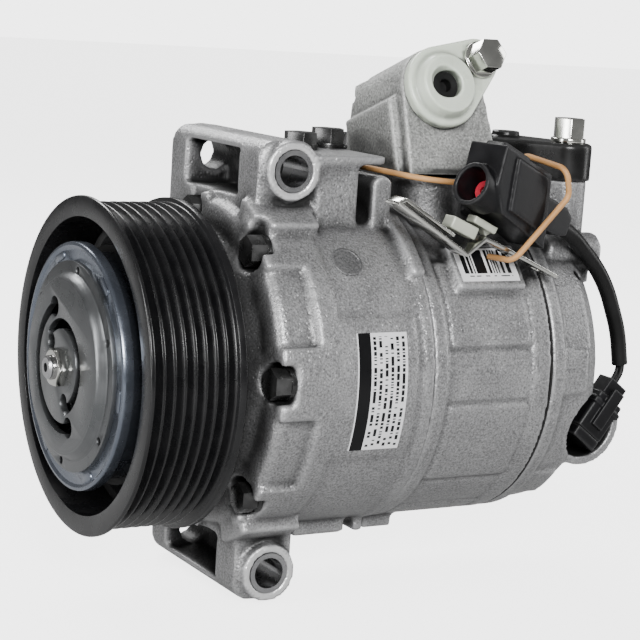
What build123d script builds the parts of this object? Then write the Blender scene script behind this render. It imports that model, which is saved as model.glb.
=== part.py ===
"""Variable-displacement swash-plate compressor for a vehicle's air conditioning.

Row frame, in millimetres: +X runs along the shaft from the pulley to the rear head, +Z is up,
and the origin is on the shaft axis in the plane of the two mounting-lug bores.
"""
import os
from math import asin, atan2, cos, degrees, hypot, pi, radians, sin, sqrt

from build123d import *

# ---------------------------------------------------------------- driving dimensions
# Mounting lugs
LUG_HEIGHT = 67.0          # lug bore above and below the shaft axis
LUG_BORE_R = 5.25          # clears an M10 bolt
LUG_BOSS_R = 9.75
LUG_NEAR_Y = -28.0         # machined face of the near bosses
LUG_FAR_Y = 42.0           # outer face of the far bosses
LUG_FAR_WALL = 14.0
LUG_NEAR_WALL = 17.0
BUSH_WALL = 1.6

# Pulley and its bearing
PULLEY_FRONT_X = -59.5
PULLEY_FLANGE_R = 55.3
PULLEY_GROOVES = 8
GROOVE_PITCH = 3.56
GROOVE_DEPTH = 2.9
GROOVE_ROOT_WIDTH = 0.7
FRONT_FLANGE_WIDTH = 1.5
REAR_FLANGE_WIDTH = 3.3
CREST_DROP = 1.9           # the rib crests lie this much inside the flanges
PULLEY_BORE_R = 48.5       # inside of the rim
PULLEY_WEB_X = -40.0
PULLEY_WEB_THICKNESS = 5.0
BEARING_IN_R = 17.5
BEARING_OUT_R = 27.5
BEARING_WIDTH = 20.0
BEARING_X = -53.0
BALL_R = 3.2
BALLS_PER_ROW = 16
SEAT_WALL = 4.2            # of the pulley round its bearing
DAMPER_INNER_GAP = 0.9
DAMPER_WALL = 2.2

# Drive hub with its torque limiter
HUB_LIP = 3.4              # the disc reaches this far past its skirt
HUB_DISC_X = -61.3
HUB_SHEET = 1.6
PLATEAU_R = 29.2
PLATEAU_X = -65.8
PLATEAU_THICKNESS = 2.4
SLOT_OUTER_R = 20.0
SLOT_INNER_R = 14.0
SLOT_WIDTH = 3.4
HUB_HOLE_R = 32.0
HUB_HOLES = 6
SHAFT_TIP_X = -71.1

# Body castings
BODY_R = 56.0
BAND_STEP = 0.8            # the front band stands this much proud of the body
BODY_FRONT_X = -15.0
BAND_END_X = 5.3
HOUSING_JOINT_X = 41.5     # front housing to cylinder block
HEAD_JOINT_X = 88.6        # cylinder block to rear gasket
GASKET_THICKNESS = 0.8
HEAD_END_X = 113.0
SPIGOT_LENGTH = 5.5
CRANKCASE_R = 46.5
CRANKCASE_FRONT_X = -2.0
THROUGH_BOLTS = 7
BOLT_CIRCLE_R = 51.2
BOLT_R = 3.0
BOLT_HOLE_R = 3.2
FIRST_BOLT_DEG = 3.0       # from the near side, upwards
BOLT_HEAD_R = 5.2
BOLT_HEAD_HEIGHT = 7.0
BOLT_SEAT_X = -10.0
THREAD_DEPTH = 12.0        # bolt length in the rear head

# Pistons, shoes and swash plate
PISTONS = 7
PISTON_CIRCLE_R = 33.0
SWASH_TILT_DEG = 8.0
SWASH_X = 22.0
SWASH_THICKNESS = 6.0
SHOE_SPHERE_R = 7.5
SHOE_GAP = 0.05
POCKET_GAP = 0.1
BORE_R = 12.5
PISTON_SIDE_GAP = 0.25
BRIDGE_SLOT_HALF = 5.3
BRIDGE_HALF_LENGTH = 11.0
CROWN_GAP = 0.6
HEAD_STACK = 3.0           # both reed plates and the valve plate
SUCTION_PORT_R = 38.0
DISCHARGE_PORT_R = 25.0
REED_THICKNESS = 0.4
SHAFT_R = 8.5

# Manifold and ports on top
MANIFOLD_BASE_Z = 66.0
PORT_TILT_DEG = 20.0
PORT_X, PORT_Y, PORT_Z = 61.5, -15.0, 94.7
PORT_LOBE_R = 14.5
PORT_BORE_R = 7.5
PORT_BOLT_DX, PORT_BOLT_UP = 15.3, 9.5
PORT_BOLT_LOBE_R = 8.5
PORT_PLUG_R = 4.9
REAR_PORT_X, REAR_PORT_Z = 114.5, 65.0

# Control valve in the rear head
VALVE_X, VALVE_Z = 115.5, -18.5
VALVE_BOSS_R = 15.5
VALVE_POCKET_R = 12.5
VALVE_BORE_R = 8.6
VALVE_NEAR_Y, VALVE_FAR_Y = -42.0, 34.0
VALVE_POCKET_FLOOR_Y = -20.0
PLUNGER_R = 3.4
SPOOL_BORE_Y = (-17.0, 24.0)
PLUG_Y = -41.0
PLUG_LENGTH = 21.0

# Harness, captive between the valve plug and its connector
SLEEVE_R = 2.8
SLEEVE_WALL = 0.5
WIRE_R = 0.9
WIRE_SPACING = 2.1
CONNECTOR_AT = (58.0, -52.0, 66.0)
CONNECTOR_X = (0.905, 0.226, -0.362)      # from the socket towards the lead
CONNECTOR_UP = (0.3514, 0.0877, 0.9321)
SOCKET_R = 7.4
SOCKET_WALL = 1.6
SOCKET_DROP = 1.6          # the socket's axis under the connector's
LEAD_START = (96.2, -42.5, 51.6)
LEAD_BENDS = [(103.5, -41.2, 47.8), (119.5, -40.5, 33.0), (128.3, -40.0, 13.5)]
SLEEVE_END = (130.5, -40.0, 1.6)
WIRES_BEND = (131.0, -40.2, -0.6)
WIRES_END = (127.2, -41.0, -5.4)

# ---------------------------------------------------------------- derived dimensions
TILT = radians(SWASH_TILT_DEG)
CLEAR = 0.05                                        # running clearance of shafts and races
PISTON_R = BORE_R - PISTON_SIDE_GAP
BORE_CIRCLE_R = PISTON_CIRCLE_R * (1 + cos(TILT)) / 2
SWASH_R = PISTON_CIRCLE_R + SHOE_SPHERE_R - 0.6
BAND_R = BODY_R + BAND_STEP
SKIRT_R = BEARING_OUT_R + SEAT_WALL + DAMPER_INNER_GAP + 4.4
HUB_DISC_R = SKIRT_R + HUB_LIP
O_RING_ROOT_R = VALVE_BORE_R - 1.3
FIRST_PISTON_DEG = FIRST_BOLT_DEG + 180 / THROUGH_BOLTS
GROOVES_X = PULLEY_FRONT_X + FRONT_FLANGE_WIDTH
PULLEY_REAR_X = GROOVES_X + PULLEY_GROOVES * GROOVE_PITCH + REAR_FLANGE_WIDTH
BALL_CIRCLE_R = (BEARING_IN_R + BEARING_OUT_R) / 2
STACK_X = HEAD_JOINT_X - HEAD_STACK
HEAD_X = HEAD_JOINT_X + GASKET_THICKNESS
RECESS_R = BOLT_CIRCLE_R - BOLT_HOLE_R - 0.3
SPIGOT_R = CRANKCASE_R + 0.9
NEEDLE_R = SHAFT_R + 3.0


# ---------------------------------------------------------------- shape helpers
def cyl_x(r, x0, x1, y=0.0, z=0.0):
    """A cylinder along X from x0 to x1."""
    return Pos((x0 + x1) / 2, y, z) * Rot(0, 90, 0) * Cylinder(r, x1 - x0)


def cyl_y(r, y0, y1, x, z):
    """A cylinder along Y from y0 to y1."""
    return Pos(x, (y0 + y1) / 2, z) * Rot(90, 0, 0) * Cylinder(r, y1 - y0)


def cyl_z(r, z0, z1, x, y):
    """A cylinder along Z from z0 to z1."""
    return Pos(x, y, (z0 + z1) / 2) * Cylinder(r, z1 - z0)


def block(x0, x1, y0, y1, z0, z1):
    """A box between two corners."""
    return Pos((x0 + x1) / 2, (y0 + y1) / 2, (z0 + z1) / 2) * Box(x1 - x0, y1 - y0, z1 - z0)


def ring_x(r_out, r_in, x0, x1):
    """A plain ring round the shaft axis."""
    return cyl_x(r_out, x0, x1) - cyl_x(r_in, x0 - 1, x1 + 1)


def spun(*profile):
    """A solid of revolution about X from (x, r) points."""
    outline = Polyline(*[(x, r, 0) for x, r in profile], close=True)
    return revolve(make_face(outline), Axis.X, 360)


def bolt_angles():
    """The through bolts' angles."""
    return [FIRST_BOLT_DEG + k * 360 / THROUGH_BOLTS for k in range(THROUGH_BOLTS)]


def piston_angles():
    """The cylinders' angles, midway between the bolts."""
    return [FIRST_PISTON_DEG + k * 360 / PISTONS for k in range(PISTONS)]


def ball_centre(angle_deg):
    """Where a pair of shoes is centred in the tilted swash plate."""
    a = radians(angle_deg)
    along = PISTON_CIRCLE_R * sin(a)
    return (SWASH_X + along * sin(TILT), -PISTON_CIRCLE_R * cos(a), along * cos(TILT))


def around(angle_deg, radius):
    """The (y, z) of a point at an angle above the near side."""
    return (-radius * cos(radians(angle_deg)), radius * sin(radians(angle_deg)))


def arc_pad(r_in, r_out, x0, x1, deg0, deg1):
    """A curved pad on the body between two angles above the near side."""
    inner = [around(deg0 + (deg1 - deg0) * k / 2, r_in) for k in range(3)]
    outer = [around(deg0 + (deg1 - deg0) * k / 2, r_out) for k in range(3)]
    edges = [
        ThreePointArc(*[(x0, y, z) for y, z in inner]),
        Line((x0, *inner[2]), (x0, *outer[2])),
        ThreePointArc(*[(x0, y, z) for y, z in reversed(outer)]),
        Line((x0, *outer[0]), (x0, *inner[0])),
    ]
    return extrude(make_face(edges), x1 - x0, dir=(1, 0, 0))


def hexagon_z(across, z0, z1, x, y, turn=0.0):
    """A hexagonal bar along Z."""
    face = Pos(x, y, z0) * Rot(0, 0, turn) * RegularPolygon(across / sqrt(3), 6)
    return extrude(face, z1 - z0, dir=(0, 0, 1))


def flange_bolt(head_across, flange_r, head_height, shank_r, shank_length):
    """A flanged hex bolt standing on Z = 0 with its shank below."""
    flange = Cylinder(flange_r, 1.6, align=(Align.CENTER, Align.CENTER, Align.MIN))
    head = hexagon_z(head_across, 1.0, head_height, 0, 0)
    head -= Pos(0, 0, head_height - 0.8) * Cylinder(head_across * 0.3, 1)
    shank = Pos(0, 0, -shank_length) * Cylinder(
        shank_r, shank_length + 1, align=(Align.CENTER, Align.CENTER, Align.MIN)
    )
    return flange + head + shank


def group(solids):
    """Several separate solids in one node."""
    return Compound(children=[s for part in solids for s in part.solids()])


def lobes(x1, y1, r1, x2, y2, r2):
    """A two-lobed flange outline: two circles and their common tangents."""
    a = atan2(y2 - y1, x2 - x1)
    b = pi / 2 - asin((r1 - r2) / hypot(x2 - x1, y2 - y1))
    corners = [
        (x1 + r1 * cos(a + b), y1 + r1 * sin(a + b)),
        (x1 + r1 * cos(a - b), y1 + r1 * sin(a - b)),
        (x2 + r2 * cos(a - b), y2 + r2 * sin(a - b)),
        (x2 + r2 * cos(a + b), y2 + r2 * sin(a + b)),
    ]
    waist = make_face(Polyline(*corners, close=True))
    return Pos(x1, y1) * Circle(r1) + Pos(x2, y2) * Circle(r2) + waist


# ---------------------------------------------------------------- front housing
def lug(side):
    """One mounting lug: two bosses on a frame that is open towards the pulley."""
    near, far = LUG_NEAR_Y + 3, LUG_FAR_Y - 2
    gap_near, gap_far = LUG_NEAR_Y + LUG_NEAR_WALL, LUG_FAR_Y - LUG_FAR_WALL
    frame = block(-11.5, 9.5, near, far, 44, LUG_HEIGHT + 9.5)
    outer = frame.edges().filter_by(Axis.Y).group_by(Axis.Z)[-1]
    frame = fillet(outer, 6)
    frame -= block(-12, 5, gap_near, gap_far, BAND_R + 0.6, LUG_HEIGHT + 5.5)
    frame += cyl_y(LUG_BOSS_R, LUG_NEAR_Y, gap_near, 0, LUG_HEIGHT)
    frame += cyl_y(LUG_BOSS_R, gap_far, LUG_FAR_Y, 0, LUG_HEIGHT)
    frame += arc_pad(50, BAND_R + 4, -14, 8, 56, 72)
    if side < 0:
        return mirror(frame, Plane.XY)
    return frame


def lug_bores(side):
    """The bore of one lug with the counterbore for its bush."""
    z = side * LUG_HEIGHT
    through = cyl_y(LUG_BORE_R, LUG_NEAR_Y - 1, LUG_FAR_Y + 1, 0, z)
    return through + cyl_y(LUG_BORE_R + BUSH_WALL, LUG_NEAR_Y - 1, LUG_NEAR_Y + LUG_NEAR_WALL + 1, 0, z)


def front_housing():
    """Nose, crankcase and lugs in one casting."""
    shell = spun(
        (-57, 0), (-57, BEARING_IN_R - 0.8), (-56.2, BEARING_IN_R), (-33, BEARING_IN_R),
        (-33, 21), (-31, 24.5), (-22, 38), (BODY_FRONT_X - 1, 46), (BODY_FRONT_X, BODY_R - 3),
        (BODY_FRONT_X + 2, BODY_R - 1.4), (-2, BODY_R - 1.4), (-1.2, BAND_R),
        (BAND_END_X - 0.5, BAND_R), (BAND_END_X, BODY_R), (HOUSING_JOINT_X - 4, BODY_R),
        (HOUSING_JOINT_X - 3.4, BODY_R + 0.5), (HOUSING_JOINT_X, BODY_R + 0.5),
        (HOUSING_JOINT_X, 0),
    )
    for angle in bolt_angles():
        shell += arc_pad(46, BAND_R, BODY_FRONT_X, -1.5, angle - 12, angle + 12)
    shell += arc_pad(50, BODY_R + 0.7, BAND_END_X - 2, 34, -24, 23)
    shell += arc_pad(50, BODY_R + 3, HOUSING_JOINT_X - 5, HOUSING_JOINT_X, 38, 64)
    for side in (1, -1):
        shell += lug(side)
    shell += block(10, 25, -27, 12, 44, 70)
    shell += block(9, 34, -28.5, 14, 69.5, 72.5)
    shell += block(26, 34, -6, 12, 44, 70)
    shell += block(30.4, 37.6, -28, -12, 44, 62.4) + cyl_y(3.6, -28, -12, 34, 62.4)
    for x0, x1 in ((14, 34), (46 - 8, HOUSING_JOINT_X)):
        shell += block(x0, x1, -18, 6, -BODY_R - 2.6, -40)
    cavity = cyl_x(CRANKCASE_R, CRANKCASE_FRONT_X, HOUSING_JOINT_X + 1)
    cavity += cyl_x(SPIGOT_R + CLEAR, HOUSING_JOINT_X - SPIGOT_LENGTH - 0.3, HOUSING_JOINT_X + 1)
    cavity += cyl_x(NEEDLE_R, -31, CRANKCASE_FRONT_X + 1)
    cavity += cyl_x(SHAFT_R + 0.6, -45, -30)
    cavity += cyl_x(13, -58, -42)
    cavity += ring_x(14, 12, -51.2, -49.9)
    cavity += ring_x(20, 16.2, -54.6, -BEARING_WIDTH - 33)
    for angle in bolt_angles():
        y, z = around(angle, BOLT_CIRCLE_R)
        cavity += cyl_x(BOLT_HOLE_R, BOLT_SEAT_X - 1, HOUSING_JOINT_X + 1, y, z)
        cavity += cyl_x(BOLT_HEAD_R + 1.6, BODY_FRONT_X - 6, BOLT_SEAT_X, y, z)
        y2, z2 = around(angle, BOLT_CIRCLE_R + 7)
        cavity += cyl_x(BOLT_HEAD_R + 1.6, BODY_FRONT_X - 6, BOLT_SEAT_X, y2, z2)
    mark = Pos(14.8, *around(44, BODY_R)) * Rot(-44, 0, 0) * Rot(90, 0, 0)
    cavity += mark * (Cylinder(5.6, 0.9) - Cylinder(5.0, 2))
    for x, y, _, drop in top_bolt_places():
        cavity += cyl_z(2.5, 72.5 - drop, 74, x, y)
    shell = shell - cavity
    for side in (1, -1):
        shell -= lug_bores(side)
    return shell


def top_bolt_places():
    """X, Y, head height and depth of the two bolts beside the upper lug."""
    return [(15, -4, 5.5, 10), (29.5, 3, 6.5, 10)]


def lug_bushes():
    """The steel sleeves in the near bosses."""
    sleeves = []
    for side in (1, -1):
        z = side * LUG_HEIGHT
        end = LUG_NEAR_Y + LUG_NEAR_WALL
        sleeve = cyl_y(LUG_BORE_R + BUSH_WALL, LUG_NEAR_Y, end, 0, z)
        sleeves.append(sleeve - cyl_y(LUG_BORE_R, LUG_NEAR_Y - 1, end + 1, 0, z))
    return group(sleeves)


# ---------------------------------------------------------------- cylinder block
def cylinder_block():
    """The block with seven bores, its panels and the boss that carries the manifold."""
    a, b = HOUSING_JOINT_X, HEAD_JOINT_X
    shell = spun(
        (a - SPIGOT_LENGTH, 0), (a - SPIGOT_LENGTH, SPIGOT_R - 0.4),
        (a - SPIGOT_LENGTH + 0.4, SPIGOT_R), (a, SPIGOT_R), (a, BODY_R + 0.2),
        (a + 5, BODY_R + 0.2), (a + 6.2, BODY_R - 1.4), (b - 8, BODY_R - 1.4),
        (b - 6.8, BODY_R - 0.1), (b, BODY_R - 0.1), (b, 0),
    )
    for angle in bolt_angles():
        shell += arc_pad(50, BODY_R - 0.7, a + 6, b - 7, angle - 8, angle + 8)
        shell += arc_pad(50, BODY_R - 0.1, a + 7.5, b - 8.5, angle + 10.5, angle + 41)
    pad = Pos(67, 0, 0) * Rot(-41, 0, 0) * block(-13.5, 13.5, -BODY_R - 2.2, -45, -8.5, 8.5)
    shell += pad
    shell += block(46.5, 85.5, -17, 29, 40, MANIFOLD_BASE_Z - 0.8)
    shell += cyl_z(12.5, 40, MANIFOLD_BASE_Z - 0.8, 58.5, -16)
    shell += block(44, 56, -14, 8, -BODY_R - 3, -40)
    cut = cyl_x(RECESS_R, STACK_X, b + 1)
    cut += cyl_x(NEEDLE_R, 44, 62) + cyl_x(SHAFT_R + 0.6, a - SPIGOT_LENGTH - 1, 64)
    cut += ring_x(SPIGOT_R + 1, SPIGOT_R - 1.4, a - 3.5, a - 1.7)
    cut += cyl_z(6.2, 50, MANIFOLD_BASE_Z, 61.5, 0)
    for x, y in manifold_bolt_places():
        cut += cyl_z(3, 52, MANIFOLD_BASE_Z, x, y)
    for angle in bolt_angles():
        y, z = around(angle, BOLT_CIRCLE_R)
        cut += cyl_x(BOLT_HOLE_R, a - 1, b + 1, y, z)
    for angle in piston_angles():
        y, z = around(angle, BORE_CIRCLE_R)
        cut += cyl_x(BORE_R, a - SPIGOT_LENGTH - 1, STACK_X + 0.1, y, z)
    return shell - cut


def manifold_bolt_places():
    """The manifold's fixing bolts, at the back of its flange."""
    return [(51, 24), (81, 24)]


def housing_bolts():
    """The seven through bolts from the front housing into the rear head."""
    bolts = []
    length = HEAD_X + THREAD_DEPTH - BOLT_SEAT_X
    for angle in bolt_angles():
        y, z = around(angle, BOLT_CIRCLE_R)
        bolt = flange_bolt(9, BOLT_HEAD_R, BOLT_HEAD_HEIGHT, BOLT_R, length)
        bolts.append(Pos(BOLT_SEAT_X, y, z) * Rot(0, -90, 0) * bolt)
    return group(bolts)


# ---------------------------------------------------------------- head stack
def reed_plate(x, reed_r, hole_r):
    """A spring-steel sheet with one reed and one clear hole per cylinder."""
    sheet = cyl_x(RECESS_R - CLEAR, x, x + REED_THICKNESS) - cyl_x(4, x - 1, x + 2)
    for angle in piston_angles():
        y, z = around(angle, reed_r)
        slit = ring_x(5.2, 4.4, x - 1, x + 2) - block(x - 1, x + 2, 1.5, 6, -6, 6)
        sheet -= Pos(0, y, z) * Rot(-angle, 0, 0) * slit
        y, z = around(angle, hole_r)
        sheet -= cyl_x(3.2, x - 1, x + 2, y, z)
    return sheet


def reed_plates():
    """The suction sheet on the block and the discharge sheet on the head's side."""
    suction = reed_plate(STACK_X, SUCTION_PORT_R, DISCHARGE_PORT_R)
    discharge = reed_plate(HEAD_JOINT_X - REED_THICKNESS, DISCHARGE_PORT_R, SUCTION_PORT_R)
    return group([suction, discharge])


def valve_plate():
    """The ported plate between the two reed sheets."""
    x0, x1 = STACK_X + REED_THICKNESS, HEAD_JOINT_X - REED_THICKNESS
    plate = cyl_x(RECESS_R - CLEAR, x0, x1) - cyl_x(4, x0 - 1, x1 + 1)
    for angle in piston_angles():
        for radius in (SUCTION_PORT_R, DISCHARGE_PORT_R):
            y, z = around(angle, radius)
            plate -= cyl_x(2.8, x0 - 1, x1 + 1, y, z)
    return plate


def head_gasket():
    """The gasket between block and head, showing as the dark line at the joint."""
    x0, x1 = HEAD_JOINT_X, HEAD_X
    sheet = ring_x(BODY_R - 0.4, 44.5, x0, x1) + ring_x(32.5, 29.5, x0, x1)
    for k in range(3):
        sheet += Rot(60 * k, 0, 0) * (block(x0, x1, -3, 3, 31, 46) + block(x0, x1, -3, 3, -46, -31))
    for angle in bolt_angles():
        sheet -= cyl_x(BOLT_HOLE_R, x0 - 1, x1 + 1, *around(angle, BOLT_CIRCLE_R))
    return sheet


def rear_head():
    """Suction and discharge chambers, the valve boss and the rear port boss."""
    body = spun(
        (HEAD_X, 0), (HEAD_X, BODY_R - 0.3), (HEAD_X + 5, BODY_R - 0.3), (HEAD_X + 6, BODY_R - 1.8),
        (HEAD_END_X - 6, BODY_R - 2.8), (HEAD_END_X - 1.5, BODY_R - 5.5),
        (HEAD_END_X, BODY_R - 9), (HEAD_END_X, 0),
    )
    for angle in bolt_angles():
        body += arc_pad(47, BODY_R - 1.0, HEAD_X + 2, HEAD_X + THREAD_DEPTH + 4, angle - 8, angle + 8)
    body += cyl_y(VALVE_BOSS_R, VALVE_NEAR_Y, VALVE_FAR_Y, VALVE_X, VALVE_Z)
    body += block(VALVE_X - 12, VALVE_X, VALVE_NEAR_Y, VALVE_FAR_Y, VALVE_Z - 14, VALVE_Z + 14)
    port = lobes(REAR_PORT_X, -20, 7.5, 103, 2, 12)
    body += extrude(Pos(0, 0, 38) * port, REAR_PORT_Z - 38, dir=(0, 0, 1))
    body += cyl_x(6.5, 98, 120, -31, 41)
    body += block(98, 118, -34, -14, 30, 41)
    for angle in (100, 150, 215, 265):
        y, z = around(angle, 30)
        body += cyl_x(5, HEAD_END_X - 4, HEAD_END_X + 3, y, z)
    cut = ring_x(44, 33, HEAD_X - 1, HEAD_X + 13) + cyl_x(29, HEAD_X - 1, HEAD_X + 13)
    cut += cyl_y(VALVE_POCKET_R, -60, VALVE_POCKET_FLOOR_Y, VALVE_X, VALVE_Z)
    cut += cyl_y(VALVE_BORE_R, VALVE_POCKET_FLOOR_Y - 1, VALVE_FAR_Y - 3, VALVE_X, VALVE_Z)
    mouth = block(-7.5, 7.5, -60, -33, 0, 26)
    cut += Pos(VALVE_X + 4, 0, VALVE_Z) * Rot(0, 24, 0) * mouth
    cut += cyl_z(7, HEAD_X - 43, REAR_PORT_Z + 1, 103, 2)
    cut += cyl_z(2.6, 48, REAR_PORT_Z + 1, REAR_PORT_X, -20)
    cut += Pos(108.5, -41, 35.1) * Rot(-40.5, 0, 0) * Rot(90, 0, 0) * Cylinder(1.9, 12)
    for angle in bolt_angles():
        y, z = around(angle, BOLT_CIRCLE_R)
        cut += cyl_x(BOLT_R, HEAD_X - 1, HEAD_X + THREAD_DEPTH + 0.5, y, z)
    return body - cut


# ---------------------------------------------------------------- pulley and bearing
def pulley_rim():
    """The grooved pulley with its web and bearing seat."""
    crest = PULLEY_FLANGE_R - CREST_DROP
    root = crest - GROOVE_DEPTH
    half = GROOVE_ROOT_WIDTH / 2
    lip = (GROOVE_PITCH - 0.5) / 2
    outline = [(PULLEY_FRONT_X, PULLEY_BORE_R), (PULLEY_FRONT_X, PULLEY_FLANGE_R - 0.4)]
    outline += [(PULLEY_FRONT_X + 0.4, PULLEY_FLANGE_R), (GROOVES_X - 0.3, PULLEY_FLANGE_R)]
    outline += [(GROOVES_X, crest)]
    for k in range(PULLEY_GROOVES):
        mid = GROOVES_X + (k + 0.5) * GROOVE_PITCH
        outline += [(mid - lip, crest), (mid - half, root), (mid + half, root), (mid + lip, crest)]
    rear = PULLEY_REAR_X - REAR_FLANGE_WIDTH
    flange = PULLEY_FLANGE_R - 0.5
    outline += [(rear, crest), (rear + 0.4, flange), (PULLEY_REAR_X - 0.6, flange)]
    outline += [(PULLEY_REAR_X, flange - 0.6), (PULLEY_REAR_X, PULLEY_BORE_R)]
    web = PULLEY_WEB_X + PULLEY_WEB_THICKNESS
    outline += [(web + 1, PULLEY_BORE_R - 0.5), (web, PULLEY_BORE_R - 1.5)]
    outline += [(web, BEARING_OUT_R + SEAT_WALL - 0.2)]
    outline += [(BEARING_X + BEARING_WIDTH, BEARING_OUT_R + SEAT_WALL - 0.2)]
    outline += [(BEARING_X + BEARING_WIDTH, BEARING_OUT_R)]
    outline += [(BEARING_X - 0.5, BEARING_OUT_R), (BEARING_X - 0.5, BEARING_OUT_R + SEAT_WALL - 0.7)]
    outline += [(PULLEY_WEB_X, BEARING_OUT_R + SEAT_WALL), (PULLEY_WEB_X, PULLEY_BORE_R - 1.5)]
    outline += [(PULLEY_WEB_X - 1.5, PULLEY_BORE_R)]
    return spun(*outline)


def pulley_damper():
    """The rubber ring between the pulley's web and the hub's skirt."""
    inner = BEARING_OUT_R + SEAT_WALL + DAMPER_INNER_GAP
    ring = ring_x(SKIRT_R + DAMPER_WALL, inner, PULLEY_WEB_X - 9, PULLEY_WEB_X)
    return ring - ring_x(SKIRT_R, SKIRT_R - HUB_SHEET, PULLEY_WEB_X - 10, PULLEY_WEB_X - 2)


def race_grooves(extra):
    """Rings swept by the balls, for cutting the raceways."""
    grooves = []
    for x in ball_rows():
        grooves.append(Pos(x, 0, 0) * Rot(0, 90, 0) * Torus(BALL_CIRCLE_R, BALL_R + extra))
    return grooves[0] + grooves[1]


def ball_rows():
    """The planes of the two rows of balls."""
    return [BEARING_X + BEARING_WIDTH * 0.26, BEARING_X + BEARING_WIDTH * 0.74]


def ball_places():
    """Every ball's centre."""
    places = []
    for x in ball_rows():
        for k in range(BALLS_PER_ROW):
            y, z = around(k * 360 / BALLS_PER_ROW, BALL_CIRCLE_R)
            places.append((x, y, z))
    return places


def bearing_outer_race():
    """The race pressed into the pulley."""
    race = ring_x(BEARING_OUT_R, BALL_CIRCLE_R + 1.9, BEARING_X, BEARING_X + BEARING_WIDTH)
    return race - race_grooves(CLEAR)


def bearing_inner_race():
    """The race pressed on the nose."""
    race = ring_x(BALL_CIRCLE_R - 1.9, BEARING_IN_R, BEARING_X, BEARING_X + BEARING_WIDTH)
    return race - race_grooves(CLEAR)


def bearing_balls():
    """Two rows of balls."""
    return group([Pos(*p) * Sphere(BALL_R) for p in ball_places()])


def bearing_cage():
    """One cage round both rows."""
    cage = ring_x(BALL_CIRCLE_R + 0.8, BALL_CIRCLE_R - 0.8, BEARING_X + 1.2, BEARING_X + BEARING_WIDTH - 1.2)
    balls = [Pos(*p) * Sphere(BALL_R + 0.02) for p in ball_places()]
    return cage - balls


def bearing_seals():
    """The lip seals held in the outer race."""
    r_in, r_out = BALL_CIRCLE_R - 1.7, BALL_CIRCLE_R + 1.9
    end = BEARING_X + BEARING_WIDTH
    return group([ring_x(r_out, r_in, BEARING_X, BEARING_X + 0.8), ring_x(r_out, r_in, end - 0.8, end)])


def bearing_circlip():
    """The ring that holds the bearing on the nose."""
    ring = ring_x(19.4, 16.2, BEARING_X - 1.6, BEARING_X)
    return ring - block(BEARING_X - 2, BEARING_X + 1, -3, 3, -25, -10)


# ---------------------------------------------------------------- drive hub
def hub_ring():
    """The outer disc with its skirt into the rubber ring."""
    rear = HUB_DISC_X + HUB_SHEET
    inner = PLATEAU_R + 0.8
    disc = spun(
        (HUB_DISC_X, inner), (HUB_DISC_X, HUB_DISC_R - 2.2), (HUB_DISC_X - 0.7, HUB_DISC_R - 1.2),
        (HUB_DISC_X - 0.5, HUB_DISC_R - 0.2), (HUB_DISC_X + 0.4, HUB_DISC_R), (rear + 1.4, HUB_DISC_R),
        (rear + 1.4, HUB_DISC_R - 1.5), (rear, HUB_DISC_R - 2), (rear, SKIRT_R),
        (PULLEY_WEB_X - 2, SKIRT_R), (PULLEY_WEB_X - 2, SKIRT_R - HUB_SHEET),
        (rear, SKIRT_R - HUB_SHEET), (rear, inner),
    )
    for k in range(HUB_HOLES):
        y, z = around(54 + 60 * k, HUB_DISC_R - 3.8)
        dimple = Pos(HUB_DISC_X, y, z) * Rot(-(54 + 60 * k), 0, 0) * Box(0.9, 2.6, 7.5)
        disc += fillet(dimple.edges().filter_by(Axis.X), 1.2)
    return disc


def hub_holes():
    """The small holes round the limiter plate."""
    x0, x1 = HUB_DISC_X - 3, HUB_DISC_X + HUB_SHEET + 1
    spots = [around(24 + 60 * k, HUB_HOLE_R) for k in range(HUB_HOLES)]
    return [cyl_x(1.35, x0, x1, y, z) for y, z in spots]


def arc_slot(radius, from_deg, to_deg, heads):
    """A C-shaped slot through the plateau with widened ends."""
    x0 = PLATEAU_X - 1
    depth = PLATEAU_THICKNESS + 2
    middle = (from_deg + to_deg) / 2
    half = SLOT_WIDTH / 2
    rings = []
    for r in (radius - half, radius + half):
        rings.append(ThreePointArc(*[(x0, *around(a, r)) for a in (from_deg, middle, to_deg)]))
    ends = [Line(rings[0] @ k, rings[1] @ k) for k in (0, 1)]
    slot = extrude(make_face([rings[0], rings[1], *ends]), depth, dir=(1, 0, 0))
    for angle, (r, size) in zip((from_deg, to_deg), heads):
        slot += cyl_x(size, x0, x0 + depth, *around(angle, r))
    return slot


def limiter_plate():
    """The plateau that drives the shaft, with its two C-shaped slots."""
    back = PLATEAU_X + PLATEAU_THICKNESS
    seat = HUB_DISC_X - 1.6
    plate = spun(
        (PLATEAU_X, 3.9), (PLATEAU_X, PLATEAU_R - 0.8), (PLATEAU_X + 0.7, PLATEAU_R),
        (seat, PLATEAU_R + 1.5), (seat, 34.3), (HUB_DISC_X, 34.3), (HUB_DISC_X, PLATEAU_R - 0.4),
        (back, PLATEAU_R - 2.4), (back, 3.9),
    )
    plate -= arc_slot(SLOT_OUTER_R, 112, 292, [(20, 3.4), (20, 3.4)])
    plate -= arc_slot(SLOT_INNER_R, -74, 142, [(11.6, 2.9), (11.2, 2.9)])
    return plate - hub_holes()


def hub_boss():
    """The splined boss behind the plateau."""
    front = PLATEAU_X + PLATEAU_THICKNESS
    return ring_x(10, 6.5, front, front + 5)


def shaft_nut():
    """The hexagonal nut on the shaft's end."""
    nut = extrude(Plane.YZ * RegularPolygon(6.6, 6), 3.4)
    nut = Pos(PLATEAU_X - 3.4, 0, 0) * nut
    nut = nut & spun(
        (PLATEAU_X - 3.4, 3.9), (PLATEAU_X - 3.4, 5.6), (PLATEAU_X - 2.6, 7),
        (PLATEAU_X, 7), (PLATEAU_X, 3.9),
    )
    return nut


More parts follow.
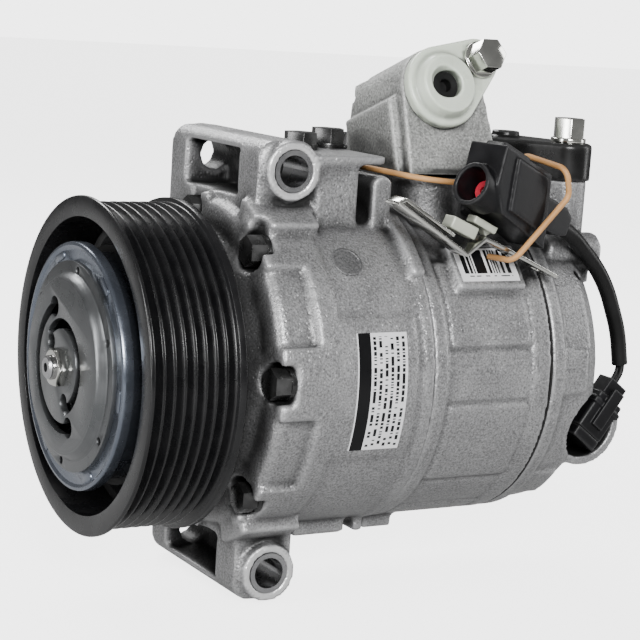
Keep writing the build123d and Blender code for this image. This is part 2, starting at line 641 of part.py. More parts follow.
# ---------------------------------------------------------------- rotating group
def shaft():
    """The drive shaft from its threaded tip to the rear bearing."""
    front = PLATEAU_X + PLATEAU_THICKNESS
    bar = spun(
        (SHAFT_TIP_X, 0), (SHAFT_TIP_X, 3.2), (SHAFT_TIP_X + 0.7, 3.9), (front, 3.9), (front, 6.5),
        (front + 6.5, 6.5), (front + 8, SHAFT_R), (62, SHAFT_R), (62.8, SHAFT_R - 0.8), (62.8, 0),
    )
    return bar - cyl_x(1.5, SHAFT_TIP_X - 1, SHAFT_TIP_X + 4)


def lug_plate():
    """The driven plate with the two arms of the swash plate's link."""
    plate = spun(
        (2.2, SHAFT_R), (2.2, 22.5), (3, 25.5), (5.8, 25.5), (5.8, 15), (7.2, 13), (7.2, SHAFT_R),
    )
    for side in (1, -1):
        y0, y1 = sorted((side * 4.1, side * 8.5))
        plate += block(5, 15, y0, y1, 12.5, 19.5)
    return plate - cyl_y(2, -9, 9, 12.5, 16)


def hinge_pin():
    """The pin between the lug plate's arms and the swash plate's ear."""
    return cyl_y(2, -9.5, 9.5, 12.5, 16)


def swash_plate():
    """The tilted plate with its hub and ear."""
    disc = cyl_x(SWASH_R, -SWASH_THICKNESS / 2, SWASH_THICKNESS / 2)
    disc += cyl_x(16, -6, 6)
    disc = Pos(SWASH_X, 0, 0) * Rot(0, SWASH_TILT_DEG, 0) * disc
    disc += block(10, 21, -4, 4, 12.5, 19.5)
    return disc - cyl_x(SHAFT_R + 0.3, 0, 40) - cyl_y(2, -9, 9, 12.5, 16)


def return_spring():
    """The spring between the lug plate and the swash plate."""
    wire = 0.9
    path = Helix(pitch=2.2, height=4.4, radius=11.4)
    section = Plane(path @ 0, z_dir=path % 0) * Circle(wire)
    return Pos(8.2, 0, 0) * Rot(0, 90, 0) * sweep(section, path, is_frenet=True)


def piston(angle):
    """One single-headed piston: pocketed arms, bridge over the swash rim, and skirt."""
    x, y, z = ball_centre(angle)
    lift = x - SWASH_X
    crown = STACK_X - CROWN_GAP - PISTON_CIRCLE_R * sin(TILT) + lift
    front = x - BRIDGE_HALF_LENGTH
    outline = [(front, 0), (front, PISTON_R - 0.8), (front + 0.8, PISTON_R)]
    for back in (7, 4):
        groove = crown - back
        outline += [(groove, PISTON_R), (groove, PISTON_R - 0.6)]
        outline += [(groove + 1, PISTON_R - 0.6), (groove + 1, PISTON_R)]
    outline += [(crown - 0.5, PISTON_R), (crown, PISTON_R - 0.5), (crown, 0)]
    body = Pos(0, y, z) * spun(*outline)
    body -= cyl_x(SWASH_R + 0.9, x - BRIDGE_SLOT_HALF, x + BRIDGE_SLOT_HALF)
    return body - Pos(x, y, z) * Rot(0, 90, 0) * Sphere(SHOE_SPHERE_R + POCKET_GAP)


def shoe(angle, side):
    """One half-ball shoe between the swash plate and its piston."""
    flat = SWASH_THICKNESS / 2 + SHOE_GAP
    rim = sqrt(SHOE_SPHERE_R ** 2 - flat ** 2)
    mid = SHOE_SPHERE_R * cos(pi / 5)
    outline = [
        Line((side * flat, 0), (side * flat, rim)),
        ThreePointArc(
            (side * flat, rim), (side * mid, SHOE_SPHERE_R * sin(pi / 5)), (side * SHOE_SPHERE_R, 0)
        ),
        Line((side * SHOE_SPHERE_R, 0), (side * flat, 0)),
    ]
    ball = revolve(make_face(outline), Axis.X, 360)
    return Pos(*ball_centre(angle)) * Rot(0, SWASH_TILT_DEG, 0) * ball


def needle_bearing(x0, x1):
    """A drawn-cup needle bearing, as its cup and needle ring in one."""
    ring = ring_x(NEEDLE_R, SHAFT_R + CLEAR, x0, x1)
    ring -= ring_x(NEEDLE_R - 0.8, SHAFT_R, x0 - 1, x0 + 1)
    return ring - ring_x(NEEDLE_R - 0.8, SHAFT_R, x1 - 1, x1 + 1)


def shaft_bearings():
    """Both needle bearings and the thrust bearing."""
    return group([needle_bearing(-31, -15), needle_bearing(46, 60), front_thrust_bearing()])


def front_thrust_bearing():
    """The thrust bearing behind the lug plate."""
    return spun(
        (-2, 13), (-2, 23), (-1, 23), (-0.9, 22), (1.2, 22), (1.3, 22.5), (2.1, 22.5),
        (2.1, 13), (1.3, 13), (1.2, 14), (-0.9, 14), (-1, 13),
    )


def shaft_seal():
    """The lip seal in the nose."""
    return spun(
        (-49.9, 10.2), (-49.9, 13), (-42, 13), (-42, SHAFT_R + CLEAR), (-43.5, SHAFT_R + CLEAR),
        (-45, 10.2),
    )


def seal_circlip():
    """The ring that holds the lip seal."""
    return ring_x(14, 11.2, -51.2, -49.9) - block(-52, -49, -2.5, 2.5, 8, 16)


# ---------------------------------------------------------------- manifold and ports
def port_plane():
    """The tilted plane of the front port's face."""
    t = radians(PORT_TILT_DEG)
    return Plane(origin=(PORT_X, PORT_Y, PORT_Z), x_dir=(1, 0, 0), z_dir=(0, -cos(t), sin(t)))


def port_solid(sketch, z0, z1):
    """A prism on the port's face, from z0 to z1 along its outward normal."""
    return extrude(port_plane() * (Pos(0, 0, z0) * sketch), z1 - z0, dir=port_plane().z_dir)


def manifold():
    """The sand-cast manifold with its tilted port and bolt lobe."""
    head = lobes(0, 0, PORT_LOBE_R, PORT_BOLT_DX, PORT_BOLT_UP, PORT_BOLT_LOBE_R)
    body = port_solid(head, -44, 0)
    apron = make_face(Polyline((-PORT_LOBE_R, 2), (-PORT_LOBE_R - 1, -34), (22, -34), (18, 6), close=True))
    body += port_solid(apron, -40, 0)
    body += port_solid(make_face(Polyline((-18, -3), (-18, -34), (-8, -34), (-8, 2), close=True)), -34, -4)
    body -= block(0, 150, -80, 80, -20, MANIFOLD_BASE_Z + 0.5)
    plate = block(46, 86, -18.5, 30, MANIFOLD_BASE_Z, MANIFOLD_BASE_Z + 4)
    plate = fillet(plate.edges().filter_by(Axis.Z), 5)
    body += plate
    body -= block(0, 150, 30, 80, 0, 150)
    body -= port_solid(Circle(PORT_BORE_R), -26, 1)
    body -= port_solid(Circle(PORT_BORE_R + 2), -3, 1)
    body -= cyl_z(6.2, MANIFOLD_BASE_Z - 1, PORT_Z - 6, 61.5, 0)
    body -= port_solid(Pos(PORT_BOLT_DX, PORT_BOLT_UP) * Circle(3), -16, 1)
    for x, y in manifold_bolt_places():
        body -= cyl_z(3, 60, 120, x, y)
        body -= cyl_z(6.6, MANIFOLD_BASE_Z + 4, 120, x, y)
    return body


def manifold_gasket():
    """The gasket under the manifold."""
    z1 = MANIFOLD_BASE_Z
    sheet = block(46.5, 85.5, -17, 29, z1 - 0.8, z1)
    sheet -= cyl_z(7, z1 - 2, z1 + 1, 61.5, 0)
    for x, y in manifold_bolt_places():
        sheet -= cyl_z(3, z1 - 2, z1 + 1, x, y)
    return sheet


def manifold_bolts():
    """The flanged bolts at the back of the manifold."""
    top = MANIFOLD_BASE_Z + 4
    return group([Pos(x, y, top) * flange_bolt(8, 5.6, 6, 3, 17) for x, y in manifold_bolt_places()])


def port_cap():
    """The translucent cap over the front port."""
    foot = lobes(0, 0, PORT_LOBE_R - 0.3, PORT_BOLT_DX, PORT_BOLT_UP, PORT_BOLT_LOBE_R - 0.4)
    cap = port_solid(foot, 0, 4)
    cap = fillet(cap.edges().group_by(Axis.Y)[0], 1.2)
    cap += port_plane() * (Pos(0, 0, 5.25) * Cone(PORT_LOBE_R - 2.4, PORT_LOBE_R - 4.6, 4.5))
    cap += port_solid(Circle(PORT_BORE_R + 1.8), -2.5, 1)
    cap -= port_solid(Circle(PORT_PLUG_R), -4, 9)
    cap -= port_plane() * (Pos(-1.6, 0.4, 6.2) * Cone(PORT_PLUG_R - 0.9, PORT_PLUG_R + 1.1, 3.2))
    return cap - port_solid(Pos(PORT_BOLT_DX, PORT_BOLT_UP) * Circle(3), -1, 9)


def port_plug():
    """The rubber plug in the cap."""
    plug = port_solid(Circle(PORT_PLUG_R), -6, 4.2)
    return plug - port_solid(Circle(PORT_PLUG_R - 2.6), 1.2, 5)


def port_cap_bolt():
    """The flanged bolt through the cap's small lobe."""
    bolt = flange_bolt(10, 6.4, 8.5, 3, 17)
    place = port_plane() * Pos(PORT_BOLT_DX, PORT_BOLT_UP, 4)
    return place * bolt


def rear_port_cap():
    """The black cap over the rear port."""
    outline = lobes(REAR_PORT_X, -20, 8.6, 103, 2, 13)
    cap = extrude(Pos(0, 0, REAR_PORT_Z) * outline, 13, dir=(0, 0, 1))
    cap = fillet(cap.faces().sort_by(Axis.Z)[-1].edges(), 1.4)
    cap += cyl_z(5, REAR_PORT_Z + 12, REAR_PORT_Z + 15, 103, 2)
    cap -= cyl_z(10.5, REAR_PORT_Z - 1, REAR_PORT_Z + 10.5, 103, 2)
    cap += ring_z(7, 5.4, REAR_PORT_Z - 9, REAR_PORT_Z + 11, 103, 2)
    return cap - cyl_z(3, REAR_PORT_Z - 1, REAR_PORT_Z + 20, REAR_PORT_X, -20)


def ring_z(r_out, r_in, z0, z1, x, y):
    """A plain ring round a vertical axis."""
    return cyl_z(r_out, z0, z1, x, y) - cyl_z(r_in, z0 - 1, z1 + 1, x, y)


def rear_port_bolt():
    """The bolt through the black cap."""
    bolt = flange_bolt(10, 6.2, 8.6, 2.6, 28)
    bolt += cyl_z(3, -13, 0, 0, 0)
    return Pos(REAR_PORT_X, -20, REAR_PORT_Z + 13) * bolt


def top_bolts():
    """The two hexagonal bolts beside the upper lug."""
    bolts = []
    for x, y, head, drop in top_bolt_places():
        bolts.append(Pos(x, y, 72.5) * Rot(0, 0, 12) * flange_bolt(10, 5.9, head, 2.5, drop))
    return group(bolts)


# ---------------------------------------------------------------- control valve
def control_valve():
    """The valve's stepped steel body with the bore for its plunger."""
    y0, y1 = VALVE_POCKET_FLOOR_Y, VALVE_FAR_Y - 4
    body = cyl_y(VALVE_BORE_R - CLEAR, y0, y1, VALVE_X, VALVE_Z)
    for y in o_ring_places():
        groove = cyl_y(VALVE_BORE_R + 1, y - 0.9, y + 0.9, VALVE_X, VALVE_Z)
        body -= groove - cyl_y(O_RING_ROOT_R, y - 2, y + 2, VALVE_X, VALVE_Z)
    for y in (-8, 9):
        waist = cyl_y(VALVE_BORE_R + 1, y - 2.5, y + 2.5, VALVE_X, VALVE_Z)
        body -= waist - cyl_y(VALVE_BORE_R - 1.6, y - 4, y + 4, VALVE_X, VALVE_Z)
    body -= cyl_y(PLUNGER_R + 0.3, SPOOL_BORE_Y[0], SPOOL_BORE_Y[1], VALVE_X, VALVE_Z)
    return body - cyl_y(1.2, SPOOL_BORE_Y[1] - 1, y1 + 1, VALVE_X, VALVE_Z)


def o_ring_places():
    """The seal positions along the valve."""
    return [-14.5, 0.5, 17.0]


def valve_o_rings():
    """The valve's three seals."""
    section = (VALVE_BORE_R - O_RING_ROOT_R) / 2
    ring = Rot(90, 0, 0) * Torus(O_RING_ROOT_R + section, section)
    return group([Pos(VALVE_X, y, VALVE_Z) * ring for y in o_ring_places()])


def valve_plunger():
    """The plunger that meters crankcase pressure."""
    y0 = SPOOL_BORE_Y[0] + 1
    rod = cyl_y(PLUNGER_R, y0, 6, VALVE_X, VALVE_Z) + cyl_y(1.6, 5, 10, VALVE_X, VALVE_Z)
    return rod - (cyl_y(5, -4, -1, VALVE_X, VALVE_Z) - cyl_y(2.4, -5, 0, VALVE_X, VALVE_Z))


def valve_spring():
    """The plunger's return spring."""
    path = Helix(pitch=2.9, height=16.4, radius=2.6)
    section = Plane(path @ 0, z_dir=path % 0) * Circle(0.4)
    coil = sweep(section, path, is_frenet=True)
    return Pos(VALVE_X, 23.2, VALVE_Z) * Rot(90, 0, 0) * coil


def plug_plane():
    """The wire end of the valve's plug, looking along the plug."""
    return Plane(origin=(127.6, PLUG_Y, -4.8), x_dir=(0, 1, 0), z_dir=(-0.6, 0, -0.8))


def plug_box(across_y, across, z0, z1, shift=0.0):
    """A box lying along the plug."""
    return plug_plane() * Pos(0, shift, (z0 + z1) / 2) * Box(across_y, across, z1 - z0)


def harness_plug():
    """The black two-pole plug on the valve's socket."""
    neck = plug_box(7.5, 8.5, 0, 7)
    body = plug_box(10.5, 12.5, 6.5, PLUG_LENGTH)
    body = fillet(body.edges().filter_by(Axis((0, 0, 0), (0.6, 0, 0.8))), 1.2)
    latch = plug_box(1.6, 5, 3, PLUG_LENGTH - 3)
    plug = neck + body + Pos(0, -6, 0) * latch
    plug += plug_box(11.5, 13.5, 9, 11)
    return plug - lead_bores(1.0)


def valve_coil():
    """The solenoid's black overmoulding with its socket."""
    coil = cyl_y(11, VALVE_POCKET_FLOOR_Y - 13.5, VALVE_POCKET_FLOOR_Y, VALVE_X, VALVE_Z)
    coil = fillet(coil.edges().group_by(Axis.Y)[0], 1.5)
    socket = plug_box(10.5, 11.5, PLUG_LENGTH, PLUG_LENGTH + 4)
    socket += Pos(0, 6, 0) * plug_box(6, 11.5, PLUG_LENGTH - 3, PLUG_LENGTH + 4)
    return coil + socket - plug_box(11.6, 13.6, 0, PLUG_LENGTH)


# ---------------------------------------------------------------- harness

def run(a, b):
    """The length between two points."""
    return (Vector(*b) - Vector(*a)).length


def lead_radii(points, share=0.45):
    """The largest tangent arcs that the runs beside each bend allow."""
    radii = []
    for a, b, c in zip(points, points[1:], points[2:]):
        turn = (Vector(*b) - Vector(*a)).get_angle(Vector(*c) - Vector(*b))
        radii.append(share * min(run(a, b), run(b, c)) / sin(radians(turn / 2)) * cos(radians(turn / 2)))
    return radii


def tube(points, radii, radius, bore=0.0):
    """A round tube along straight runs joined by tangent arcs."""
    path = FilletPolyline(*points, radius=radii)
    end = Plane(path @ 0, z_dir=path % 0)
    solid = sweep(end * Circle(radius), path)
    if bore:
        solid -= sweep(end * Circle(bore), path)
    area = pi * (radius ** 2 - bore ** 2)
    print("tube", [round(r, 1) for r in radii], "volume / (section x length)",
          round(solid.volume / (area * path.length), 4))
    return solid


def sleeve_points():
    """The sleeve's route from the connector to the valve."""
    return [LEAD_START, *LEAD_BENDS, SLEEVE_END]


def harness_sleeve():
    """The lead's outer sleeve, held at both ends."""
    points = sleeve_points()
    return tube(points, lead_radii(points), SLEEVE_R, SLEEVE_R - SLEEVE_WALL)


def wire_route(shift):
    """One wire's route inside the sleeve and on to the plug."""
    aim = (Vector(*LEAD_BENDS[0]) - Vector(*LEAD_START)).normalized()
    start = tuple(Vector(*LEAD_START) + aim * 0.4)
    route = [start, *LEAD_BENDS, WIRES_BEND, WIRES_END]
    radii = lead_radii(sleeve_points()) + [6.0]
    return [(x, y + shift, z) for x, y, z in route], radii


def harness_wires():
    """The two wires, showing between the sleeve and the plug."""
    wires = []
    for side in (-0.5, 0.5):
        points, radii = wire_route(side * WIRE_SPACING)
        wires.append(tube(points, radii, WIRE_R))
    return group(wires)


def lead_bores(length):
    """Sockets in the plug for the wires' ends."""
    bores = []
    for side in (-0.5, 0.5):
        a = Vector(WIRES_BEND[0], WIRES_BEND[1] + side * WIRE_SPACING, WIRES_BEND[2])
        b = Vector(WIRES_END[0], WIRES_END[1] + side * WIRE_SPACING, WIRES_END[2])
        aim = (b - a).normalized()
        start = Plane(b - aim * 4, z_dir=aim)
        bores.append(extrude(start * Circle(WIRE_R), 4, dir=aim))
    return bores


def connector_plane():
    """The connector's own frame: X along the body from the socket, Z up its side."""
    return Plane(origin=CONNECTOR_AT, x_dir=CONNECTOR_X, z_dir=CONNECTOR_UP)


def connector_prism(points, y0, y1):
    """A prism across the connector from (x, z) points."""
    face = make_face(Polyline(*[(x, y0, z) for x, z in points], close=True))
    return connector_plane() * extrude(face, y1 - y0, dir=(0, 1, 0))


def connector_cyl(r, x0, x1, z=0.0):
    """A cylinder along the connector."""
    return connector_plane() * cyl_x(r, x0, x1, 1, z)


def harness_connector():
    """The black connector with its round socket and rear seal."""
    body = connector_prism([(-3.5, 13.4), (22.5, 12.6), (30.5, -11), (4.5, -7.5), (-2, 0)], -7, 9)
    body += connector_prism([(3, 11.4), (20, 10.8), (26, -7), (7, -5.5)], -8.2, -6.5)
    body += connector_prism([(20, 6.5), (38, 6.2), (42, 4), (42, -2.4), (38, -4), (24, -4.6)], -5, 7)
    body += connector_cyl(SOCKET_R, -6, 4, -SOCKET_DROP)
    body += connector_prism([(-2, 13), (14, 12.6), (14, 15), (0, 15.4)], -3, 5)
    body -= connector_cyl(SOCKET_R - SOCKET_WALL, -7, 6, -SOCKET_DROP)
    aim = (Vector(*LEAD_BENDS[0]) - Vector(*LEAD_START)).normalized()
    return body - extrude(Plane(LEAD_START, z_dir=aim) * Circle(SLEEVE_R), 4, dir=aim)


def connector_insert():
    """The red insert in the connector's socket."""
    inner = SOCKET_R - SOCKET_WALL
    insert = connector_cyl(inner, 4.8, 6, -SOCKET_DROP) + connector_cyl(inner * 0.55, 0.8, 5, -SOCKET_DROP)
    insert += connector_plane() * Pos(3.2, 1, -SOCKET_DROP) * Box(3.6, 1.6, inner * 1.7)
    return insert - connector_cyl(1.2, 0, 2.5, -SOCKET_DROP)


def strip(points, thickness, y0, y1):
    """A bent sheet, drawn edge-on in X and Z and given its width along Y."""
    sheet = None
    half = thickness / 2
    for (xa, za), (xb, zb) in zip(points, points[1:]):
        long = hypot(xb - xa, zb - za)
        tilt = -degrees(atan2(zb - za, xb - xa))
        plate = Pos((xa + xb) / 2, (y0 + y1) / 2, (za + zb) / 2) * Rot(0, tilt, 0)
        piece = plate * Box(long, y1 - y0, thickness)
        sheet = piece if sheet is None else sheet + piece
    for x, z in points[1:-1]:
        sheet += cyl_y(half, y0, y1, x, z)
    return sheet


def harness_bracket():
    """The bright bent bracket under the connector."""
    sheet = strip([(24.9, 59.9), (52.6, 43.2), (59.6, 48.4), (66, 45.8), (89.9, 35.4)], 1.3, -53, -44.5)
    sheet += strip([(27.5, 61.2), (47, 49.5)], 1.1, -53, -46)
    sheet += strip([(24.9, 59.9), (27.5, 61.2)], 1.3, -53, -46)
    for x, z in ((74, 42.3), (84, 38)):
        sheet -= Pos(x, -48.5, z) * Rot(0, 23.5, 0) * Cylinder(1.8, 6)
    return sheet


def bracket_clips():
    """The two pale clips between the bracket and the connector."""
    low = strip([(47.2, 53.8), (57.2, 49.6)], 4.2, -51, -45)
    high = strip([(56.5, 54.6), (65.5, 50.4)], 2.6, -50, -45)
    foot = strip([(61.5, 51.2), (62.6, 48.9)], 1.6, -49, -45.5)
    return group([low, high + foot])


def elastic_band():
    """The band that ties the connector to the casting for transport."""
    points = [
        (36.2, -9, 67.2), (47, -31, 65.6), (64, -32, 64.2), (77, -35.6, 68), (83.5, -36.9, 74.8),
        (85.8, -58.5, 72.2), (89, -56.5, 63), (68.5, -56.5, 41.6), (68.5, -42.6, 41.0),
    ]
    return tube(points, [9, 7, 8, 3.5, 3.5, 3.5, 3.5], 1.0)


# ---------------------------------------------------------------- labels
def type_label():
    """The type label on the raised panel, left without lettering."""
    return arc_pad(BODY_R + 0.7, BODY_R + 0.9, 11.8, 30.5, -20.5, 19)


def code_label():
    """The code label on the flat pad."""
    top = -BODY_R - 2.2
    return Pos(67, 0, 0) * Rot(-41, 0, 0) * block(-11.8, 11.2, top - 0.2, top, -6.2, 6.6)


# ---------------------------------------------------------------- export
def housing_o_ring():
    """The seal round the block's spigot."""
    r_in, r_out = SPIGOT_R - 1.4, SPIGOT_R + CLEAR
    section = (r_out - r_in) / 2
    x = HOUSING_JOINT_X - 2.6
    return Pos(x, 0, 0) * Rot(0, 90, 0) * Torus(r_in + section, section)


def nodes():
    """Every named piece."""
    made = {
        "front_housing": front_housing(),
        "lug_bushes": lug_bushes(),
        "body_bolts": group([top_bolts(), manifold_bolts()]),
        "cylinder_block": cylinder_block(),
        "o_rings": group([housing_o_ring(), valve_o_rings()]),
        "housing_bolts": housing_bolts(),
        "reed_plates": reed_plates(),
        "valve_plate": valve_plate(),
        "gaskets": group([head_gasket(), manifold_gasket()]),
        "rear_head": rear_head(),
        "shaft_bearings": shaft_bearings(),
        "shaft_seal": shaft_seal(),
        "circlips": group([seal_circlip(), bearing_circlip()]),
        "bearing_inner_race": bearing_inner_race(),
        "bearing_balls": group([bearing_balls(), bearing_cage()]),
        "bearing_outer_race": group([bearing_outer_race(), bearing_seals()]),
        "pulley_rim": pulley_rim(),
        "pulley_damper": pulley_damper(),
        "hub_ring": hub_ring() - hub_holes(),
        "limiter_plate": limiter_plate(),
        "hub_boss": hub_boss(),
        "shaft_nut": shaft_nut(),
        "shaft": shaft(),
        "lug_plate": lug_plate(),
        "hinge_pin": hinge_pin(),
        "swash_plate": swash_plate(),
        "return_spring": return_spring(),
        "front_shoes": group([shoe(angle, -1) for angle in piston_angles()]),
        "manifold": manifold(),
        "port_cap": port_cap(),
        "port_plug": port_plug(),
        "port_bolts": group([port_cap_bolt(), rear_port_bolt()]),
        "rear_port_cap": rear_port_cap(),
        "control_valve": control_valve(),
        "valve_coil": valve_coil(),
        "valve_plunger": valve_plunger(),
        "valve_spring": valve_spring(),
        "harness_plug": harness_plug(),
        "harness_sleeve": harness_sleeve(),
        "harness_wires": harness_wires(),
        "harness_connector": harness_connector(),
        "connector_insert": connector_insert(),
        "harness_bracket": harness_bracket(),
        "bracket_clips": bracket_clips(),
        "elastic_band": elastic_band(),
        "labels": group([type_label(), code_label()]),
    }
    for k, angle in enumerate(piston_angles(), start=1):
        made[f"piston_{k}"] = piston(angle)
        made[f"rear_shoe_{k}"] = shoe(angle, 1)
    return made


def main():
    """Writes one STEP file per node."""
    os.makedirs("parts", exist_ok=True)
    for name, shape in nodes().items():
        shape.label = name
        export_step(shape, f"parts/{name}.step")


main()
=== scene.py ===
"""Finishes, cast surfaces and studio for a swash-plate refrigerant compressor."""
import functools
import logging
import math
from dataclasses import dataclass, field
from enum import Enum
from typing import Dict, List, Sequence, Tuple

import bmesh
import bpy
import numpy as np
from mathutils import Matrix, Vector
from mathutils.bvhtree import BVHTree


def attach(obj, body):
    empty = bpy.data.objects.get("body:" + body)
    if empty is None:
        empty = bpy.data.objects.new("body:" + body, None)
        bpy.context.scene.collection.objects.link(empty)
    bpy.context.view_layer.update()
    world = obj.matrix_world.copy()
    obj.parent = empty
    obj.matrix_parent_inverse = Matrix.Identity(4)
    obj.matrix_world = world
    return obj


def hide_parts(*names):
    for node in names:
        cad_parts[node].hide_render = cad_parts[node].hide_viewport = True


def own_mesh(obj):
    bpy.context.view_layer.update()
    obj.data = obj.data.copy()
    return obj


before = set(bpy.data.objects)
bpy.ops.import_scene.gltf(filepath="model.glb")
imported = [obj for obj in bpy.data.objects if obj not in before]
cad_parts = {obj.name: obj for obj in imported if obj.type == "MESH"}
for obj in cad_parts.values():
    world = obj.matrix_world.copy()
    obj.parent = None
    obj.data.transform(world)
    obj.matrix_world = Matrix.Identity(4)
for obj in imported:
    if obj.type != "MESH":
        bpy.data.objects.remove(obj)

LOG = logging.getLogger("compressor")
MM = 0.001
Colour = Tuple[float, float, float]
Socket = bpy.types.NodeSocket
Thing = bpy.types.Object
Crisp = Dict[str, Tuple[float, str, str]]
Soft = Dict[str, Tuple[float, int, str, str]]
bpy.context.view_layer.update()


# ------------------------------------------------------------------ shader bench
class Pattern(Enum):
    """The patterns that the shared groups can put on a surface."""

    CAST = "cast_skin"
    FINE = "fine_grain"
    PAINTED_LIGHT = "edge_tone"


class Bench:
    """A material or group under construction: adds nodes and joins sockets."""

    def __init__(self, tree: bpy.types.NodeTree) -> None:
        """Starts work on a node tree.

        Args:
            tree: The tree that receives the nodes.
        """
        self.tree = tree
        self.row = 0

    def add(self, kind: str, **sockets: object) -> bpy.types.Node:
        """Adds one node and fills its sockets.

        Args:
            kind: The node's type name.
            **sockets: Values or sockets by input name, with underscores for spaces; names that
                start with "set_" are properties of the node.

        Returns:
            The new node.
        """
        node = self.tree.nodes.new(kind)
        node.location = (self.row * 180, -60 * (self.row % 5))
        self.row += 1
        for key, value in sockets.items():
            if key.startswith("set_"):
                setattr(node, key[4:], value)
        for key, value in sockets.items():
            if not key.startswith("set_"):
                self.fill(node, key, value)
        return node

    def fill(self, node: bpy.types.Node, key: str, value: object) -> None:
        """Puts a value or a link into one input.

        Args:
            node: The node that has the input.
            key: The input's name with underscores, or "in0", "in1" and so on for its place.
            value: A plain value or an output socket.
        """
        if key.startswith("in") and key[2:].isdigit():
            socket = node.inputs[int(key[2:])]
        else:
            socket = node.inputs[key.replace("_", " ")]
        if isinstance(value, Socket):
            self.tree.links.new(value, socket)
        else:
            socket.default_value = value

    def math(self, operation: str, a: object, b: object = 0.0, clamp: bool = False) -> Socket:
        """Adds a maths step.

        Args:
            operation: The Math node's operation.
            a: First value or socket.
            b: Second value or socket.
            clamp: Whether the result stays between 0 and 1.

        Returns:
            The result's socket.
        """
        node = self.add("ShaderNodeMath", set_operation=operation, set_use_clamp=clamp, in0=a, in1=b)
        return node.outputs[0]

    def mix(self, factor: object, a: object, b: object, mode: str = "MIX") -> Socket:
        """Mixes two colours.

        Args:
            factor: How much of the second colour shows.
            a: First colour or socket.
            b: Second colour or socket.
            mode: The blend mode.

        Returns:
            The mixed colour's socket.
        """
        node = self.add("ShaderNodeMix", set_data_type="RGBA", set_blend_type=mode)
        self.fill(node, "in0", factor)
        for place, value in ((6, a), (7, b)):
            self.fill(node, f"in{place}", (*value, 1.0) if isinstance(value, tuple) else value)
        return node.outputs[2]

    def ramp(self, value: object, low: float, high: float) -> Socket:
        """Stretches a value from low..high to 0..1.

        Args:
            value: The socket to stretch.
            low: What becomes 0.
            high: What becomes 1.

        Returns:
            The stretched value's socket.
        """
        node = self.add("ShaderNodeMapRange", in0=value, in1=low, in2=high)
        return node.outputs[0]

    def where(self) -> Socket:
        """Object coordinates."""
        return self.add("ShaderNodeTexCoord").outputs["Object"]

    def attribute(self, name: str) -> Socket:
        """The value of a mesh attribute.

        Args:
            name: The attribute's name.

        Returns:
            The attribute's factor socket.
        """
        return self.add("ShaderNodeAttribute", set_attribute_name=name).outputs["Fac"]

    def axes(self) -> Dict[str, Socket]:
        """The object coordinates, split."""
        node = self.add("ShaderNodeSeparateXYZ", in0=self.where())
        return {"x": node.outputs[0], "y": node.outputs[1], "z": node.outputs[2]}


def noise(
    bench: Bench, vector: object, scale: float, detail: float = 3.0, rough: float = 0.55
) -> Socket:
    """A noise texture's value.

    Args:
        bench: Where the node goes.
        vector: The coordinates' socket.
        scale: The noise's scale per metre.
        detail: Octaves.
        rough: Roughness of the octaves.

    Returns:
        The noise value's socket.
    """
    node = bench.add("ShaderNodeTexNoise", Vector=vector, Scale=scale, Detail=detail, Roughness=rough)
    return node.outputs["Fac"]


